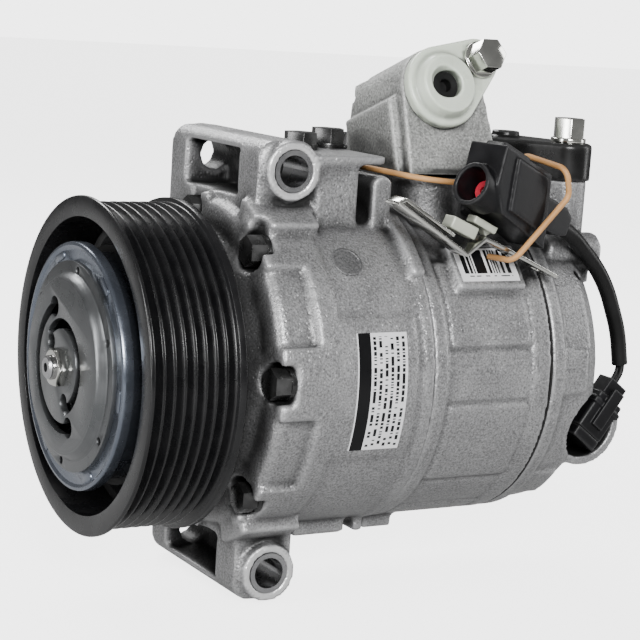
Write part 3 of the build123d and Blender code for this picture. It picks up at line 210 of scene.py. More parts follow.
class Groups:
    """The node groups that several finishes share."""

    def __init__(self) -> None:
        """Builds every shared group once."""
        self.trees: Dict[Pattern, bpy.types.NodeTree] = {
            Pattern.CAST: self._cast(),
            Pattern.FINE: self._fine(),
            Pattern.PAINTED_LIGHT: self._tone(),
        }

    @staticmethod
    def _new(
        name: str, inputs: Sequence[Tuple[str, float]], outputs: Sequence[str]
    ) -> Tuple[Bench, bpy.types.Node, bpy.types.Node]:
        """Starts a group.

        Args:
            name: The group's name.
            inputs: Names and starting values of its float inputs.
            outputs: Names of its float outputs.

        Returns:
            The bench and the group's input and output nodes.
        """
        tree = bpy.data.node_groups.new(name, "ShaderNodeTree")
        tree.interface.new_socket(name="Vector", in_out="INPUT", socket_type="NodeSocketVector")
        for label, value in inputs:
            socket = tree.interface.new_socket(name=label, in_out="INPUT", socket_type="NodeSocketFloat")
            socket.default_value = value
        for label in outputs:
            tree.interface.new_socket(name=label, in_out="OUTPUT", socket_type="NodeSocketFloat")
        bench = Bench(tree)
        return bench, bench.add("NodeGroupInput"), bench.add("NodeGroupOutput")

    @staticmethod
    def _scaled(bench: Bench, start: bpy.types.Node) -> Socket:
        """The group's coordinates times its scale.

        Args:
            bench: The group's bench.
            start: Its input node.

        Returns:
            The scaled coordinates' socket.
        """
        place, scale = start.outputs["Vector"], start.outputs["Scale"]
        scaled = bench.add("ShaderNodeVectorMath", set_operation="SCALE", in0=place, Scale=scale)
        return scaled.outputs[0]

    def _cast(self) -> bpy.types.NodeTree:
        """Sand-cast skin: blotches for the colour and fine pits for the height."""
        outputs = ["Blotch", "Height", "Speck"]
        bench, start, end = self._new("cast_skin", [("Scale", 1.0), ("Pits", 0.5)], outputs)
        place = self._scaled(bench, start)
        blotch = noise(bench, place, 70.0, 4.0, 0.6)
        sand = noise(bench, place, 900.0, 3.0, 0.6)
        coarse = noise(bench, place, 380.0, 2.0, 0.5)
        pits = bench.add("ShaderNodeTexVoronoi", Vector=place, Scale=620.0).outputs["Distance"]
        pit = bench.math("MULTIPLY", bench.ramp(pits, 0.0, 0.35), start.outputs["Pits"])
        height = bench.math("ADD", bench.math("MULTIPLY", sand, 0.6), bench.math("MULTIPLY", coarse, 0.5))
        bench.fill(end, "Blotch", blotch)
        bench.fill(end, "Height", bench.math("ADD", height, pit))
        bench.fill(end, "Speck", noise(bench, place, 1500.0, 2.0, 0.6))
        return bench.tree

    def _fine(self) -> bpy.types.NodeTree:
        """Fine moulded or coated grain."""
        bench, start, end = self._new("fine_grain", [("Scale", 1.0)], ["Cloud", "Height"])
        place = self._scaled(bench, start)
        bench.fill(end, "Cloud", noise(bench, place, 120.0, 3.0))
        bench.fill(end, "Height", noise(bench, place, 2400.0, 2.0))
        return bench.tree

    def _tone(self) -> bpy.types.NodeTree:
        """Turns the surface-curvature and shut-in attributes into masks for painted shade in creases and
        shut-in spots and a painted highlight on edges.
        """
        bench, start, end = self._new("edge_tone", [("Crease", 1.0), ("Edge", 1.0)], ["Dark", "Bright"])
        hollow = bench.attribute("hollow")
        crest = bench.attribute("crest")
        shut_in = bench.ramp(bench.attribute("shelter"), 0.20, 0.62)
        # Painted shade: hollows and shut-in spots summed into one darkening mask.
        painted_shade = bench.math("ADD", hollow, shut_in)
        bench.fill(end, "Dark", bench.math("MULTIPLY", painted_shade, start.outputs["Crease"], clamp=True))
        # Painted highlight: the crest mask brightens edges.
        bench.fill(end, "Bright", bench.math("MULTIPLY", crest, start.outputs["Edge"], clamp=True))
        return bench.tree

    def place(self, bench: Bench, pattern: Pattern, vector: object, **sockets: float) -> bpy.types.Node:
        """Puts a shared group into a material.

        Args:
            bench: The material's bench.
            pattern: Which group.
            vector: The coordinates' socket.
            **sockets: Values of the group's inputs.

        Returns:
            The group's node.
        """
        node = bench.add("ShaderNodeGroup", set_node_tree=self.trees[pattern])
        bench.fill(node, "Vector", vector)
        for key, value in sockets.items():
            bench.fill(node, key, value)
        return node


GROUPS = Groups()


# ------------------------------------------------------------------ finishes
ROUGH_SPREAD = 0.07
INK = (0.004, 0.004, 0.0045)


def shaded(colour: Colour, times: float, plus: float = 0.0) -> Colour:
    """A colour made darker or lighter, at most white.

    Args:
        colour: The colour.
        times: What it is multiplied by.
        plus: What is added then.

    Returns:
        The new colour.
    """
    return tuple(min(1.0, c * times + plus) for c in colour)


@dataclass(frozen=True)
class Finish:
    """One surface finish with its colours and its fine detail.

    Attributes:
        name: The material's name.
        base: Main colour.
        second: The colour that the blotches drift towards.
        rough: Mean roughness.
        metal: Metallic amount.
        bump: Strength of the grain's relief.
        grain: Scale of the grain.
        coat: Clear coat weight.
        cast: Whether the skin is sand-cast rather than fine-grained.
        crease: How far painted shade darkens hollows and shut-in spots.
        edge: How far a painted highlight brightens crests.
        gloss: Specular level.
    """

    name: str
    base: Colour
    second: Colour
    rough: float = 0.5
    metal: float = 0.0
    bump: float = 0.15
    grain: float = 1.0
    coat: float = 0.0
    cast: bool = False
    crease: float = 0.0
    edge: float = 0.0
    gloss: float = 0.5

    def start(self) -> Tuple[bpy.types.Material, Bench, bpy.types.Node]:
        """An empty material with its shader.

        Returns:
            The material, its bench and its Principled node.
        """
        material = bpy.data.materials.new(self.name)
        material.use_nodes = True
        material.node_tree.nodes.clear()
        bench = Bench(material.node_tree)
        shader = bench.add("ShaderNodeBsdfPrincipled", Metallic=self.metal)
        shader.inputs["Coat Weight"].default_value = self.coat
        shader.inputs["Coat Roughness"].default_value = 0.18
        shader.inputs["Specular IOR Level"].default_value = self.gloss
        out = bench.add("ShaderNodeOutputMaterial")
        bench.fill(out, "Surface", shader.outputs[0])
        return material, bench, shader

    def skin(self, bench: Bench, shader: bpy.types.Node) -> Socket:
        """Adds grain, blotches, painted shade in hollows and painted highlights on crests.

        Args:
            bench: The material's bench.
            shader: Its Principled node.

        Returns:
            The colour's socket, already linked to the shader.
        """
        where = bench.where()
        if self.cast:
            skin = GROUPS.place(bench, Pattern.CAST, where, Scale=self.grain, Pits=0.5)
            cloud, height, distance = skin.outputs["Blotch"], skin.outputs["Height"], 0.00035
        else:
            skin = GROUPS.place(bench, Pattern.FINE, where, Scale=self.grain)
            cloud, height, distance = skin.outputs["Cloud"], skin.outputs["Height"], 0.00008
        colour = bench.mix(bench.ramp(cloud, 0.3, 0.72), self.base, self.second)
        if self.cast:
            speck = bench.ramp(skin.outputs["Speck"], 0.50, 0.72)
            colour = bench.mix(speck, colour, shaded(self.base, 1.75))
            pit = bench.ramp(skin.outputs["Speck"], 0.50, 0.26)
            colour = bench.mix(pit, colour, shaded(self.base, 0.50))
        # Painted shade mixes hollows and shut-in spots towards a near-black copy of the base; painted
        # highlight mixes crests towards a lighter copy.
        if self.crease or self.edge:
            tone = GROUPS.place(bench, Pattern.PAINTED_LIGHT, where, Crease=self.crease, Edge=self.edge)
            colour = bench.mix(tone.outputs["Dark"], colour, shaded(self.base, 0.10))
            colour = bench.mix(tone.outputs["Bright"], colour, shaded(self.base, 1.75, 0.05))
        low, high = self.rough - ROUGH_SPREAD, self.rough + ROUGH_SPREAD
        rough = bench.add("ShaderNodeMapRange", in0=cloud, in1=0.3, in2=0.7, in3=low, in4=high)
        bench.fill(shader, "Base Color", colour)
        bench.fill(shader, "Roughness", rough.outputs[0])
        bump = bench.add("ShaderNodeBump", Strength=self.bump, Distance=distance, Height=height)
        bench.fill(shader, "Normal", bump.outputs[0])
        return colour

    def build(self) -> bpy.types.Material:
        """The finished material."""
        material, bench, shader = self.start()
        self.skin(bench, shader)
        return material


@dataclass(frozen=True)
class Cast(Finish):
    """Sand-cast aluminium whose faces marked as machined are smoother and lighter."""

    machined: Colour = (0.62, 0.62, 0.62)

    def build(self) -> bpy.types.Material:
        """The casting's material with its machined faces."""
        material, bench, shader = self.start()
        colour = self.skin(bench, shader)
        cut = bench.attribute("machined")
        bench.fill(shader, "Base Color", bench.mix(cut, colour, self.machined))
        old = shader.inputs["Roughness"].links[0].from_socket
        rough = bench.add("ShaderNodeMix", set_data_type="FLOAT")
        for place, value in ((0, cut), (2, old), (3, 0.34)):
            bench.fill(rough, f"in{place}", value)
        bench.fill(shader, "Roughness", rough.outputs[0])
        return material


@dataclass(frozen=True)
class Moulded(Finish):
    """A translucent moulded plastic."""

    glow: float = 0.35

    def build(self) -> bpy.types.Material:
        """The plastic with light scattered under its skin."""
        material, bench, shader = self.start()
        self.skin(bench, shader)
        shader.inputs["Subsurface Weight"].default_value = self.glow
        shader.inputs["Subsurface Radius"].default_value = (0.9, 1.0, 0.8)
        shader.inputs["Subsurface Scale"].default_value = 0.004
        return material


@dataclass(frozen=True)
class Turned(Finish):
    """Metal turned about the shaft axis, with fine circular marks."""

    def build(self) -> bpy.types.Material:
        """The turned metal's material."""
        material, bench, shader = self.start()
        colour = self.skin(bench, shader)
        axes = bench.axes()
        squares = [bench.math("MULTIPLY", axes[k], axes[k]) for k in "yz"]
        radius = bench.math("SQRT", bench.math("ADD", *squares))
        rings = bench.add(
            "ShaderNodeTexNoise", set_noise_dimensions="1D", W=radius, Scale=2600.0, Detail=3.0
        )
        ring = bench.ramp(rings.outputs["Fac"], 0.35, 0.7)
        shade = bench.mix(ring, shaded(self.base, 0.82), shaded(self.base, 1.2))
        bench.fill(shader, "Base Color", bench.mix(0.45, colour, shade))
        return material


@dataclass(frozen=True)
class TypeLabel(Finish):
    """The two printed films: a stripe with rows of plain dashes, and a bar pattern.

    Attributes:
        stripe: X of the black stripe's two edges, in metres.
        film: X of the type label's two edges.
        split: X beyond which the bar label lies.
    """

    stripe: Tuple[float, float] = (0.0122, 0.0168)
    film: Tuple[float, float] = (0.0118, 0.0305)
    split: float = 0.045

    def between(self, bench: Bench, value: object, low: float, high: float) -> Socket:
        """A mask of where a value lies between two limits.

        Args:
            bench: The material's bench.
            value: The value's socket.
            low: Lower limit.
            high: Upper limit.

        Returns:
            The mask's socket.
        """
        over = bench.math("GREATER_THAN", value, low)
        return bench.math("MULTIPLY", over, bench.math("LESS_THAN", value, high))

    def cells(
        self, bench: Bench, across: object, along: object, pitch: float, length: float, share: float
    ) -> Socket:
        """Rows of dashes of uneven length.

        Args:
            bench: The material's bench.
            across: Coordinate across the rows.
            along: Coordinate along them.
            pitch: Distance between rows.
            length: Length of one cell.
            share: Share of the cells that are inked.

        Returns:
            The ink mask's socket.
        """
        row = bench.math("FLOOR", bench.math("DIVIDE", across, pitch))
        cell = bench.math("FLOOR", bench.math("DIVIDE", along, length))
        seed = bench.add("ShaderNodeCombineXYZ", in0=row, in1=cell, in2=0.5)
        dice = bench.add("ShaderNodeTexWhiteNoise", set_noise_dimensions="3D", Vector=seed.outputs[0])
        roll = dice.outputs["Value"]
        inside = bench.math("FRACT", bench.math("DIVIDE", across, pitch))
        body = self.between(bench, inside, 0.24, 0.74)
        return bench.math("MULTIPLY", body, bench.math("LESS_THAN", roll, share))

    def build(self) -> bpy.types.Material:
        """The printed films' material."""
        material, bench, shader = self.start()
        paper = self.skin(bench, shader)
        axes = bench.axes()
        x = axes["x"]
        angle = bench.math("ARCTAN2", axes["z"], bench.math("MULTIPLY", axes["y"], -1.0))
        stripe = self.between(bench, x, *self.stripe)
        text = self.between(bench, x, self.stripe[1] + 0.0008, self.film[1] - 0.0006)
        ends = (math.radians(-19.3), math.radians(17.8))
        text = bench.math("MULTIPLY", text, self.between(bench, angle, *ends))
        dashes = bench.math("MULTIPLY", self.cells(bench, x, angle, 0.00215, 0.0075, 0.62), text)
        first = bench.math("MAXIMUM", stripe, dashes)
        first = bench.math("MULTIPLY", first, bench.math("LESS_THAN", x, self.split))
        lean = [bench.math("MULTIPLY", axes[k], share) for k, share in (("z", 0.755), ("y", 0.656))]
        tangent = bench.math("ADD", *lean)
        bar = bench.math("FLOOR", bench.math("DIVIDE", x, 0.00052))
        thick = bench.add("ShaderNodeTexWhiteNoise", set_noise_dimensions="1D", W=bar).outputs["Value"]
        inked = bench.math("LESS_THAN", thick, 0.52)
        bars = bench.math("MULTIPLY", inked, self.between(bench, x, 0.0570, 0.0763))
        bars = bench.math("MULTIPLY", bars, self.between(bench, tangent, -0.0032, 0.0060))
        small = self.cells(bench, tangent, x, 0.0016, 0.0009, 0.6)
        small = bench.math("MULTIPLY", small, self.between(bench, tangent, -0.0052, -0.0040))
        small = bench.math("MULTIPLY", small, self.between(bench, x, 0.0575, 0.0760))
        second = bench.math("MAXIMUM", bars, small)
        second = bench.math("MULTIPLY", second, bench.math("GREATER_THAN", x, self.split))
        ink = bench.math("MAXIMUM", first, second)
        bench.fill(shader, "Base Color", bench.mix(ink, paper, INK))
        return material


# ------------------------------------------------------------------ mesh shop
@dataclass(frozen=True)
class CutFace:
    """A machined face on a casting.

    Attributes:
        axis: The axis that the face looks along: 0, 1 or 2.
        centre: The other two coordinates of the face's centre, in millimetres.
        radii: Inner and outer radius, in millimetres.
        span: Lowest and highest place along the axis, in millimetres.
    """

    axis: int
    centre: Tuple[float, float]
    radii: Tuple[float, float]
    span: Tuple[float, float]

    def mask(self, places: np.ndarray, normals: np.ndarray) -> np.ndarray:
        """Which vertices lie on the face.

        Args:
            places: Vertex positions in metres.
            normals: Vertex normals.

        Returns:
            A mask of 0 and 1.
        """
        others = [k for k in range(3) if k != self.axis]
        offset = places[:, others] / MM - np.array(self.centre)
        radius = np.hypot(offset[:, 0], offset[:, 1])
        along = places[:, self.axis] / MM
        inside = (radius > self.radii[0]) & (radius < self.radii[1])
        level = (along > self.span[0]) & (along < self.span[1])
        return (inside & level & (np.abs(normals[:, self.axis]) > 0.75)).astype(float)


@dataclass(frozen=True)
class Skin:
    """A mesh's vertices and edges as arrays.

    Attributes:
        places: Vertex positions in metres.
        normals: Vertex normals.
        ends: Each edge's two vertices, both ways round.
    """

    places: np.ndarray
    normals: np.ndarray
    ends: np.ndarray

    @classmethod
    def of(cls, mesh: bpy.types.Mesh) -> "Skin":
        """Reads a mesh.

        Args:
            mesh: The mesh.

        Returns:
            Its arrays.
        """
        count = len(mesh.vertices)
        places = np.zeros(count * 3)
        mesh.vertices.foreach_get("co", places)
        normals = np.zeros(count * 3, np.float32)
        mesh.vertices.foreach_get("normal", normals)
        pairs = np.zeros(len(mesh.edges) * 2, np.int32)
        mesh.edges.foreach_get("vertices", pairs)
        pairs = pairs.reshape(-1, 2)
        return cls(places.reshape(-1, 3), normals.reshape(-1, 3), np.concatenate([pairs, pairs[:, ::-1]]))

    def mean(self, values: np.ndarray) -> np.ndarray:
        """The mean of each vertex's neighbours.

        Args:
            values: One value per vertex.

        Returns:
            One mean per vertex.
        """
        count = len(self.places)
        degree = np.maximum(np.bincount(self.ends[:, 0], minlength=count), 1)
        return np.bincount(self.ends[:, 0], weights=values[self.ends[:, 1]], minlength=count) / degree

    def offsets(self, rounds: int) -> np.ndarray:
        """How far each vertex lies under the local mean of its neighbours.

        Args:
            rounds: How far the mean reaches.

        Returns:
            The signed distance along the normal, positive in hollows.
        """
        mean = self.places.copy()
        for _ in range(rounds):
            mean = np.stack([self.mean(mean[:, k]) for k in range(3)], 1)
        return ((mean - self.places) * self.normals).sum(1)


def write_values(mesh: bpy.types.Mesh, name: str, values: np.ndarray) -> None:
    """Writes one value per vertex as an attribute.

    Args:
        mesh: The mesh.
        name: The attribute's name.
        values: The values.
    """
    layer = mesh.attributes.new(name, "FLOAT", "POINT")
    layer.data.foreach_set("value", values.astype(np.float32))


def break_corners(shape: bmesh.types.BMesh, width: float, angle: float) -> None:
    """Puts narrow bevels on the sharp edges.

    Args:
        shape: The bmesh.
        width: The bevel's width in metres.
        angle: Corners sharper than this are bevelled, in degrees.
    """
    limit = math.radians(angle)
    closed = [e for e in shape.edges if len(e.link_faces) == 2]
    sharp = [e for e in closed if e.calc_face_angle(0.0) > limit]
    bmesh.ops.bevel(
        shape, geom=sharp, offset=width, offset_type="OFFSET", affect="EDGES", segments=2,
        profile=0.5, material=-1, clamp_overlap=True,
    )


def spin_round(
    corners: Sequence[Tuple[float, float, float]], closed: bool, axis: Tuple[int, int, int], steps: int
) -> bmesh.types.BMesh:
    """Turns an outline a full circle about an axis through the origin.

    Args:
        corners: The outline's points in metres.
        closed: Whether the last point joins the first.
        axis: The axis.
        steps: Steps round it.

    Returns:
        The turned shape, with its normals outwards.
    """
    shape = bmesh.new()
    verts = [shape.verts.new(corner) for corner in corners]
    for a, b in zip(verts, verts[1:] + verts[:1] if closed else verts[1:]):
        shape.edges.new((a, b))
    bmesh.ops.spin(
        shape, geom=shape.verts[:] + shape.edges[:], cent=(0, 0, 0), axis=axis, dvec=(0, 0, 0),
        angle=math.tau, steps=steps, use_merge=True, use_duplicate=False,
    )
    bmesh.ops.remove_doubles(shape, verts=shape.verts[:], dist=1e-7)
    bmesh.ops.recalc_face_normals(shape, faces=shape.faces[:])
    return shape


class Shop:
    """Makes pieces from copies of CAD nodes and from bmesh shapes."""

    @staticmethod
    def merged(node: str) -> bmesh.types.BMesh:
        """A bmesh of a CAD node with its seams merged.

        Args:
            node: The CAD node's name.

        Returns:
            The merged bmesh.
        """
        shape = bmesh.new()
        shape.from_mesh(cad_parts[node].data)
        bmesh.ops.remove_doubles(shape, verts=shape.verts[:], dist=2e-6)
        return shape

    @staticmethod
    def piece(name: str, shape: bmesh.types.BMesh, smooth_angle: float = 35.0) -> Thing:
        """Turns a bmesh into an object with smooth shading and sharp corners.

        Args:
            name: The piece's name.
            shape: The bmesh, which is freed.
            smooth_angle: Corners sharper than this stay sharp, in degrees.

        Returns:
            The new object.
        """
        mesh = bpy.data.meshes.new(name)
        shape.to_mesh(mesh)
        shape.free()
        for face in mesh.polygons:
            face.use_smooth = True
        mesh.set_sharp_from_angle(angle=math.radians(smooth_angle))
        thing = bpy.data.objects.new(name, mesh)
        bpy.context.scene.collection.objects.link(thing)
        return thing

    @classmethod
    def crisp(cls, node: str, width: float, angle: float = 25.0) -> Thing:
        """A copy of a CAD node with narrow bevels on its corners.

        Args:
            node: The CAD node's name.
            width: The bevel's width in metres.
            angle: Corners sharper than this are bevelled, in degrees.

        Returns:
            The piece.
        """
        shape = cls.merged(node)
        bmesh.ops.dissolve_limit(
            shape, angle_limit=math.radians(0.5), use_dissolve_boundaries=False,
            verts=shape.verts[:], edges=shape.edges[:], delimit=set(),
        )
        break_corners(shape, width, angle)
        return cls.piece(f"{node}_piece", shape, 40.0)

    @classmethod
    def softened(cls, node: str, voxel: float, rounds: int, cuts: Sequence[CutFace] = ()) -> Thing:
        """A copy of a CAD node with the rounded corners of a casting or moulding.

        Args:
            node: The CAD node's name.
            voxel: The remesh's voxel in metres.
            rounds: How many times it is smoothed.
            cuts: Its machined faces.

        Returns:
            The piece, with its painted-shade, painted-highlight and machined attributes.
        """
        raw = cls.piece(f"{node}_raw", cls.merged(node))
        remesh = raw.modifiers.new("skin", "REMESH")
        remesh.mode = "VOXEL"
        remesh.voxel_size = voxel
        remesh.adaptivity = 0.0
        graph = bpy.context.evaluated_depsgraph_get()
        solid = bpy.data.meshes.new_from_object(raw.evaluated_get(graph))
        bpy.data.objects.remove(raw)
        shape = bmesh.new()
        shape.from_mesh(solid)
        bpy.data.meshes.remove(solid)
        for _ in range(rounds):
            bmesh.ops.smooth_vert(
                shape, verts=shape.verts[:], factor=0.5, use_axis_x=True, use_axis_y=True, use_axis_z=True
            )
        thing = cls.piece(f"{node}_piece", shape, 180.0)
        cls.tone(thing, voxel, cuts)
        cls.shelter(thing, cls.walls())
        return thing

    @staticmethod
    def rays(count: int) -> List[Vector]:
        """Directions spread evenly over a ball.

        Args:
            count: How many.

        Returns:
            Unit vectors.
        """
        golden = math.pi * (3 - math.sqrt(5))
        found = []
        for k in range(count):
            z = 1 - (2 * k + 1) / count
            r = math.sqrt(1 - z * z)
            found.append(Vector((r * math.cos(golden * k), r * math.sin(golden * k), z)))
        return found

    @classmethod
    def shelter(
        cls, thing: Thing, walls: BVHTree, cell: float = 0.0022, reach: float = 0.042,
        count: int = 36, lift: float = 0.0009, grazing: float = 0.05,
    ) -> None:
        """Writes how far each vertex is shut in, a baked occlusion mask for painted shade in crevices.

        Args:
            thing: The piece.
            walls: The whole compressor.
            cell: Size of the cells that share one value.
            reach: How far a wall still counts.
            count: Directions per cell.
            lift: How far off the surface the rays start.
            grazing: Rays that lean more than this towards the surface are left out.
        """
        skin = Skin.of(thing.data)
        places, normals = skin.places, skin.normals
        keys = np.floor(places / cell).astype(np.int64)
        keys = keys * 7 + np.round(normals * 1.4).astype(np.int64)
        _, first, back = np.unique(keys, axis=0, return_index=True, return_inverse=True)
        fan = cls.rays(count)
        share = np.zeros(len(first))
        for slot_number, vertex in enumerate(first):
            normal = Vector(normals[vertex])
            start = Vector(places[vertex]) + normal * lift
            total = blocked = 0.0
            for ray in fan:
                lean = ray.dot(normal)
                if lean <= grazing:
                    continue
                total += lean
                # Rays blocked by nearby walls add to the painted shade.
                hit = walls.ray_cast(start, ray, reach)[3]
                if hit is not None:
                    blocked += lean * (1.0 - 0.5 * hit / reach)
            share[slot_number] = blocked / total if total else 0.0
        values = share[back.reshape(-1)]
        for _ in range(5):
            values = 0.5 * values + 0.5 * skin.mean(values)
        write_values(thing.data, "shelter", values)

    @staticmethod
    @functools.lru_cache(maxsize=1)
    def walls() -> BVHTree:
        """A tree of every CAD node's faces, for casting rays."""
        spots: List[Tuple[float, float, float]] = []
        faces: List[Tuple[int, ...]] = []
        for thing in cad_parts.values():
            start = len(spots)
            spots += [tuple(thing.matrix_world @ v.co) for v in thing.data.vertices]
            faces += [tuple(start + i for i in face.vertices) for face in thing.data.polygons]
        return BVHTree.FromPolygons(spots, faces)

    @classmethod
    def tone(cls, thing: Thing, voxel: float, cuts: Sequence[CutFace]) -> None:
        """Writes the hollow and crest masks for painted shade and painted highlight, and the machined
        attribute.

        Args:
            thing: The piece.
            voxel: Its edge length.
            cuts: Its machined faces.
        """
        skin = Skin.of(thing.data)
        broad, near = skin.offsets(16), skin.offsets(4)
        machined = np.zeros(len(skin.places))
        for cut in cuts:
            machined = np.maximum(machined, cut.mask(skin.places, skin.normals))
        # hollow marks where painted shade darkens; crest marks where a painted highlight brightens.
        hollow = np.clip(broad / (voxel * 1.1), 0, 1) * (1 - machined)
        crest = np.clip(-near / (voxel * 0.55) - 0.12, 0, 1) * (1 - machined)
        for name, values in (("hollow", hollow), ("crest", crest), ("machined", machined)):
            write_values(thing.data, name, values)

    @classmethod
    def turned(
        cls, name: str, profile: Sequence[Tuple[float, float]], steps: int = 192, width: float = 0.00018
    ) -> Thing:
        """A ring turned about the shaft axis from a closed profile.

        Args:
            name: The piece's name.
            profile: (x, r) points in millimetres.
            steps: Steps round the axis.
            width: The bevel's width on its corners.

        Returns:
            The piece.
        """
        shape = spin_round([(x * MM, 0.0, r * MM) for x, r in profile], True, (1, 0, 0), steps)
        break_corners(shape, width, 20.0)
        return cls.piece(name, shape, 40.0)


def dress(thing: Thing, material: bpy.types.Material) -> None:
    """Gives a piece or a CAD node one material.

    Args:
        thing: The object.
        material: Its material.
    """
    if thing.material_slots:
        for place in thing.material_slots:
            place.material = material
    else:
        thing.data.materials.append(material)


def stand_for(thing: Thing, node: str, body: str, material: bpy.types.Material) -> None:
    """Puts a piece in place of a CAD node.

    Args:
        thing: The piece.
        node: The CAD node that it stands for.
        body: The body that it rides on.
        material: Its finish.
    """
    dress(thing, material)
    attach(thing, body)
    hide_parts(node)
    LOG.info("%s: %d faces", thing.name, len(thing.data.polygons))


# ------------------------------------------------------------------ finishes in use
@dataclass(frozen=True)
class FinishBook:
    """Every finish on the compressor, built once."""

    made: Dict[str, bpy.types.Material] = field(default_factory=dict)

    def recipes(self) -> List[Finish]:
        """The finishes' recipes."""
        # crease sets the painted shade in hollows and edge the painted highlight on crests.
        return [
            Cast(
                "cast_aluminium", (0.205, 0.205, 0.208), (0.285, 0.285, 0.287), 0.42, 0.6, 0.8, 1.0,
                cast=True, crease=0.95, edge=0.8,
            ),
            Cast(
                "manifold_cast", (0.225, 0.228, 0.221), (0.31, 0.313, 0.302), 0.52, 0.4, 1.0, 0.8,
                cast=True, crease=0.95, edge=0.6,
            ),
            Finish("cast_mark", (0.10, 0.10, 0.102), (0.16, 0.16, 0.162), 0.45, 0.5, 0.6, 1.0, cast=True),
            Finish(
                "pulley_black", (0.004, 0.004, 0.0045), (0.007, 0.007, 0.0075), 0.27, 0.0, 0.2,
                gloss=0.42,
            ),
            Turned("hub_coating", (0.13, 0.147, 0.18), (0.20, 0.22, 0.26), 0.26, 0.85, 0.12),
            Turned("plateau_satin", (0.10, 0.105, 0.108), (0.16, 0.163, 0.168), 0.30, 0.85, 0.15),
            Turned("ground_steel", (0.36, 0.36, 0.37), (0.48, 0.48, 0.48), 0.26, 1.0, 0.06),
            Finish("zinc_plate", (0.55, 0.55, 0.52), (0.70, 0.70, 0.66), 0.17, 1.0, 0.10),
            Finish("dark_bolt", (0.03, 0.03, 0.03), (0.10, 0.10, 0.10), 0.27, 0.9, 0.15),
            Finish(
                "black_plastic", (0.004, 0.004, 0.0045), (0.008, 0.008, 0.009), 0.40, 0.0, 0.3,
                crease=0.3, edge=0.6, gloss=0.18,
            ),
            Finish(
                "black_cap", (0.004, 0.004, 0.004), (0.009, 0.009, 0.009), 0.30, 0.0, 0.25, crease=0.2,
                edge=0.6, gloss=0.25,
            ),
            Finish("red_plastic", (0.30, 0.006, 0.022), (0.50, 0.02, 0.04), 0.35, 0.0, 0.10),
            Moulded(
                "cap_plastic", (0.47, 0.52, 0.44), (0.56, 0.60, 0.52), 0.30, 0.0, 0.2, 0.5, crease=0.7,
                edge=0.5,
            ),
            Finish(
                "clip_plastic", (0.33, 0.35, 0.29), (0.45, 0.46, 0.39), 0.42, 0.1, 0.25, crease=0.6,
                edge=0.4,
            ),
            Finish(
                "black_rubber", (0.005, 0.005, 0.005), (0.010, 0.010, 0.010), 0.5, 0.0, 0.4, 0.6,
                gloss=0.25,
            ),
            Finish("band_rubber", (0.36, 0.18, 0.065), (0.46, 0.25, 0.10), 0.5, 0.0, 0.35, 0.7, gloss=0.35),
            Finish(
                "sleeve_black", (0.004, 0.004, 0.004), (0.008, 0.008, 0.008), 0.36, 0.0, 0.35, 0.8,
                gloss=0.2,
            ),
            TypeLabel("printed_film", (0.55, 0.55, 0.56), (0.63, 0.63, 0.64), 0.32, 0.0, 0.08, gloss=0.2),
            Finish("piston_coat", (0.11, 0.12, 0.11), (0.17, 0.18, 0.17), 0.40, 0.5, 0.15),
        ]

    def build(self) -> None:
        """Builds the materials."""
        for recipe in self.recipes():
            self.made[recipe.name] = recipe.build()
        LOG.info("%d finishes", len(self.made))

    def __getitem__(self, name: str) -> bpy.types.Material:
        """A finish by name."""
        return self.made[name]


# ------------------------------------------------------------------ sub-assemblies
@dataclass
class Assembly:
    """What every sub-assembly shares.

    Attributes:
        book: The finishes.
        body: The CAD body that it rides on.
        finish_of: Finish name for each CAD node that stays as it is.
        crisp: Nodes that get narrow bevels: width in metres, slot and finish.
        soft: Nodes that get moulded corners: voxel, rounds, slot and finish.
    """

    book: FinishBook
    body: str = "casing"
    finish_of: Dict[str, str] = field(default_factory=dict)
    crisp: Crisp = field(default_factory=dict)
    soft: Soft = field(default_factory=dict)

    def build(self) -> None:
        """Builds and dresses every piece."""
        for node, finish in self.finish_of.items():
            dress(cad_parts[node], self.book[finish])
        for node, (width, slot, finish) in self.crisp.items():
            stand_for(Shop.crisp(node, width), node, self.body, self.book[finish])
        for node, (voxel, rounds, slot, finish) in self.soft.items():
            stand_for(Shop.softened(node, voxel, rounds), node, self.body, self.book[finish])
        self.details()
        LOG.info("%s done", type(self).__name__)

    def details(self) -> None:
        """Adds what only this sub-assembly has."""


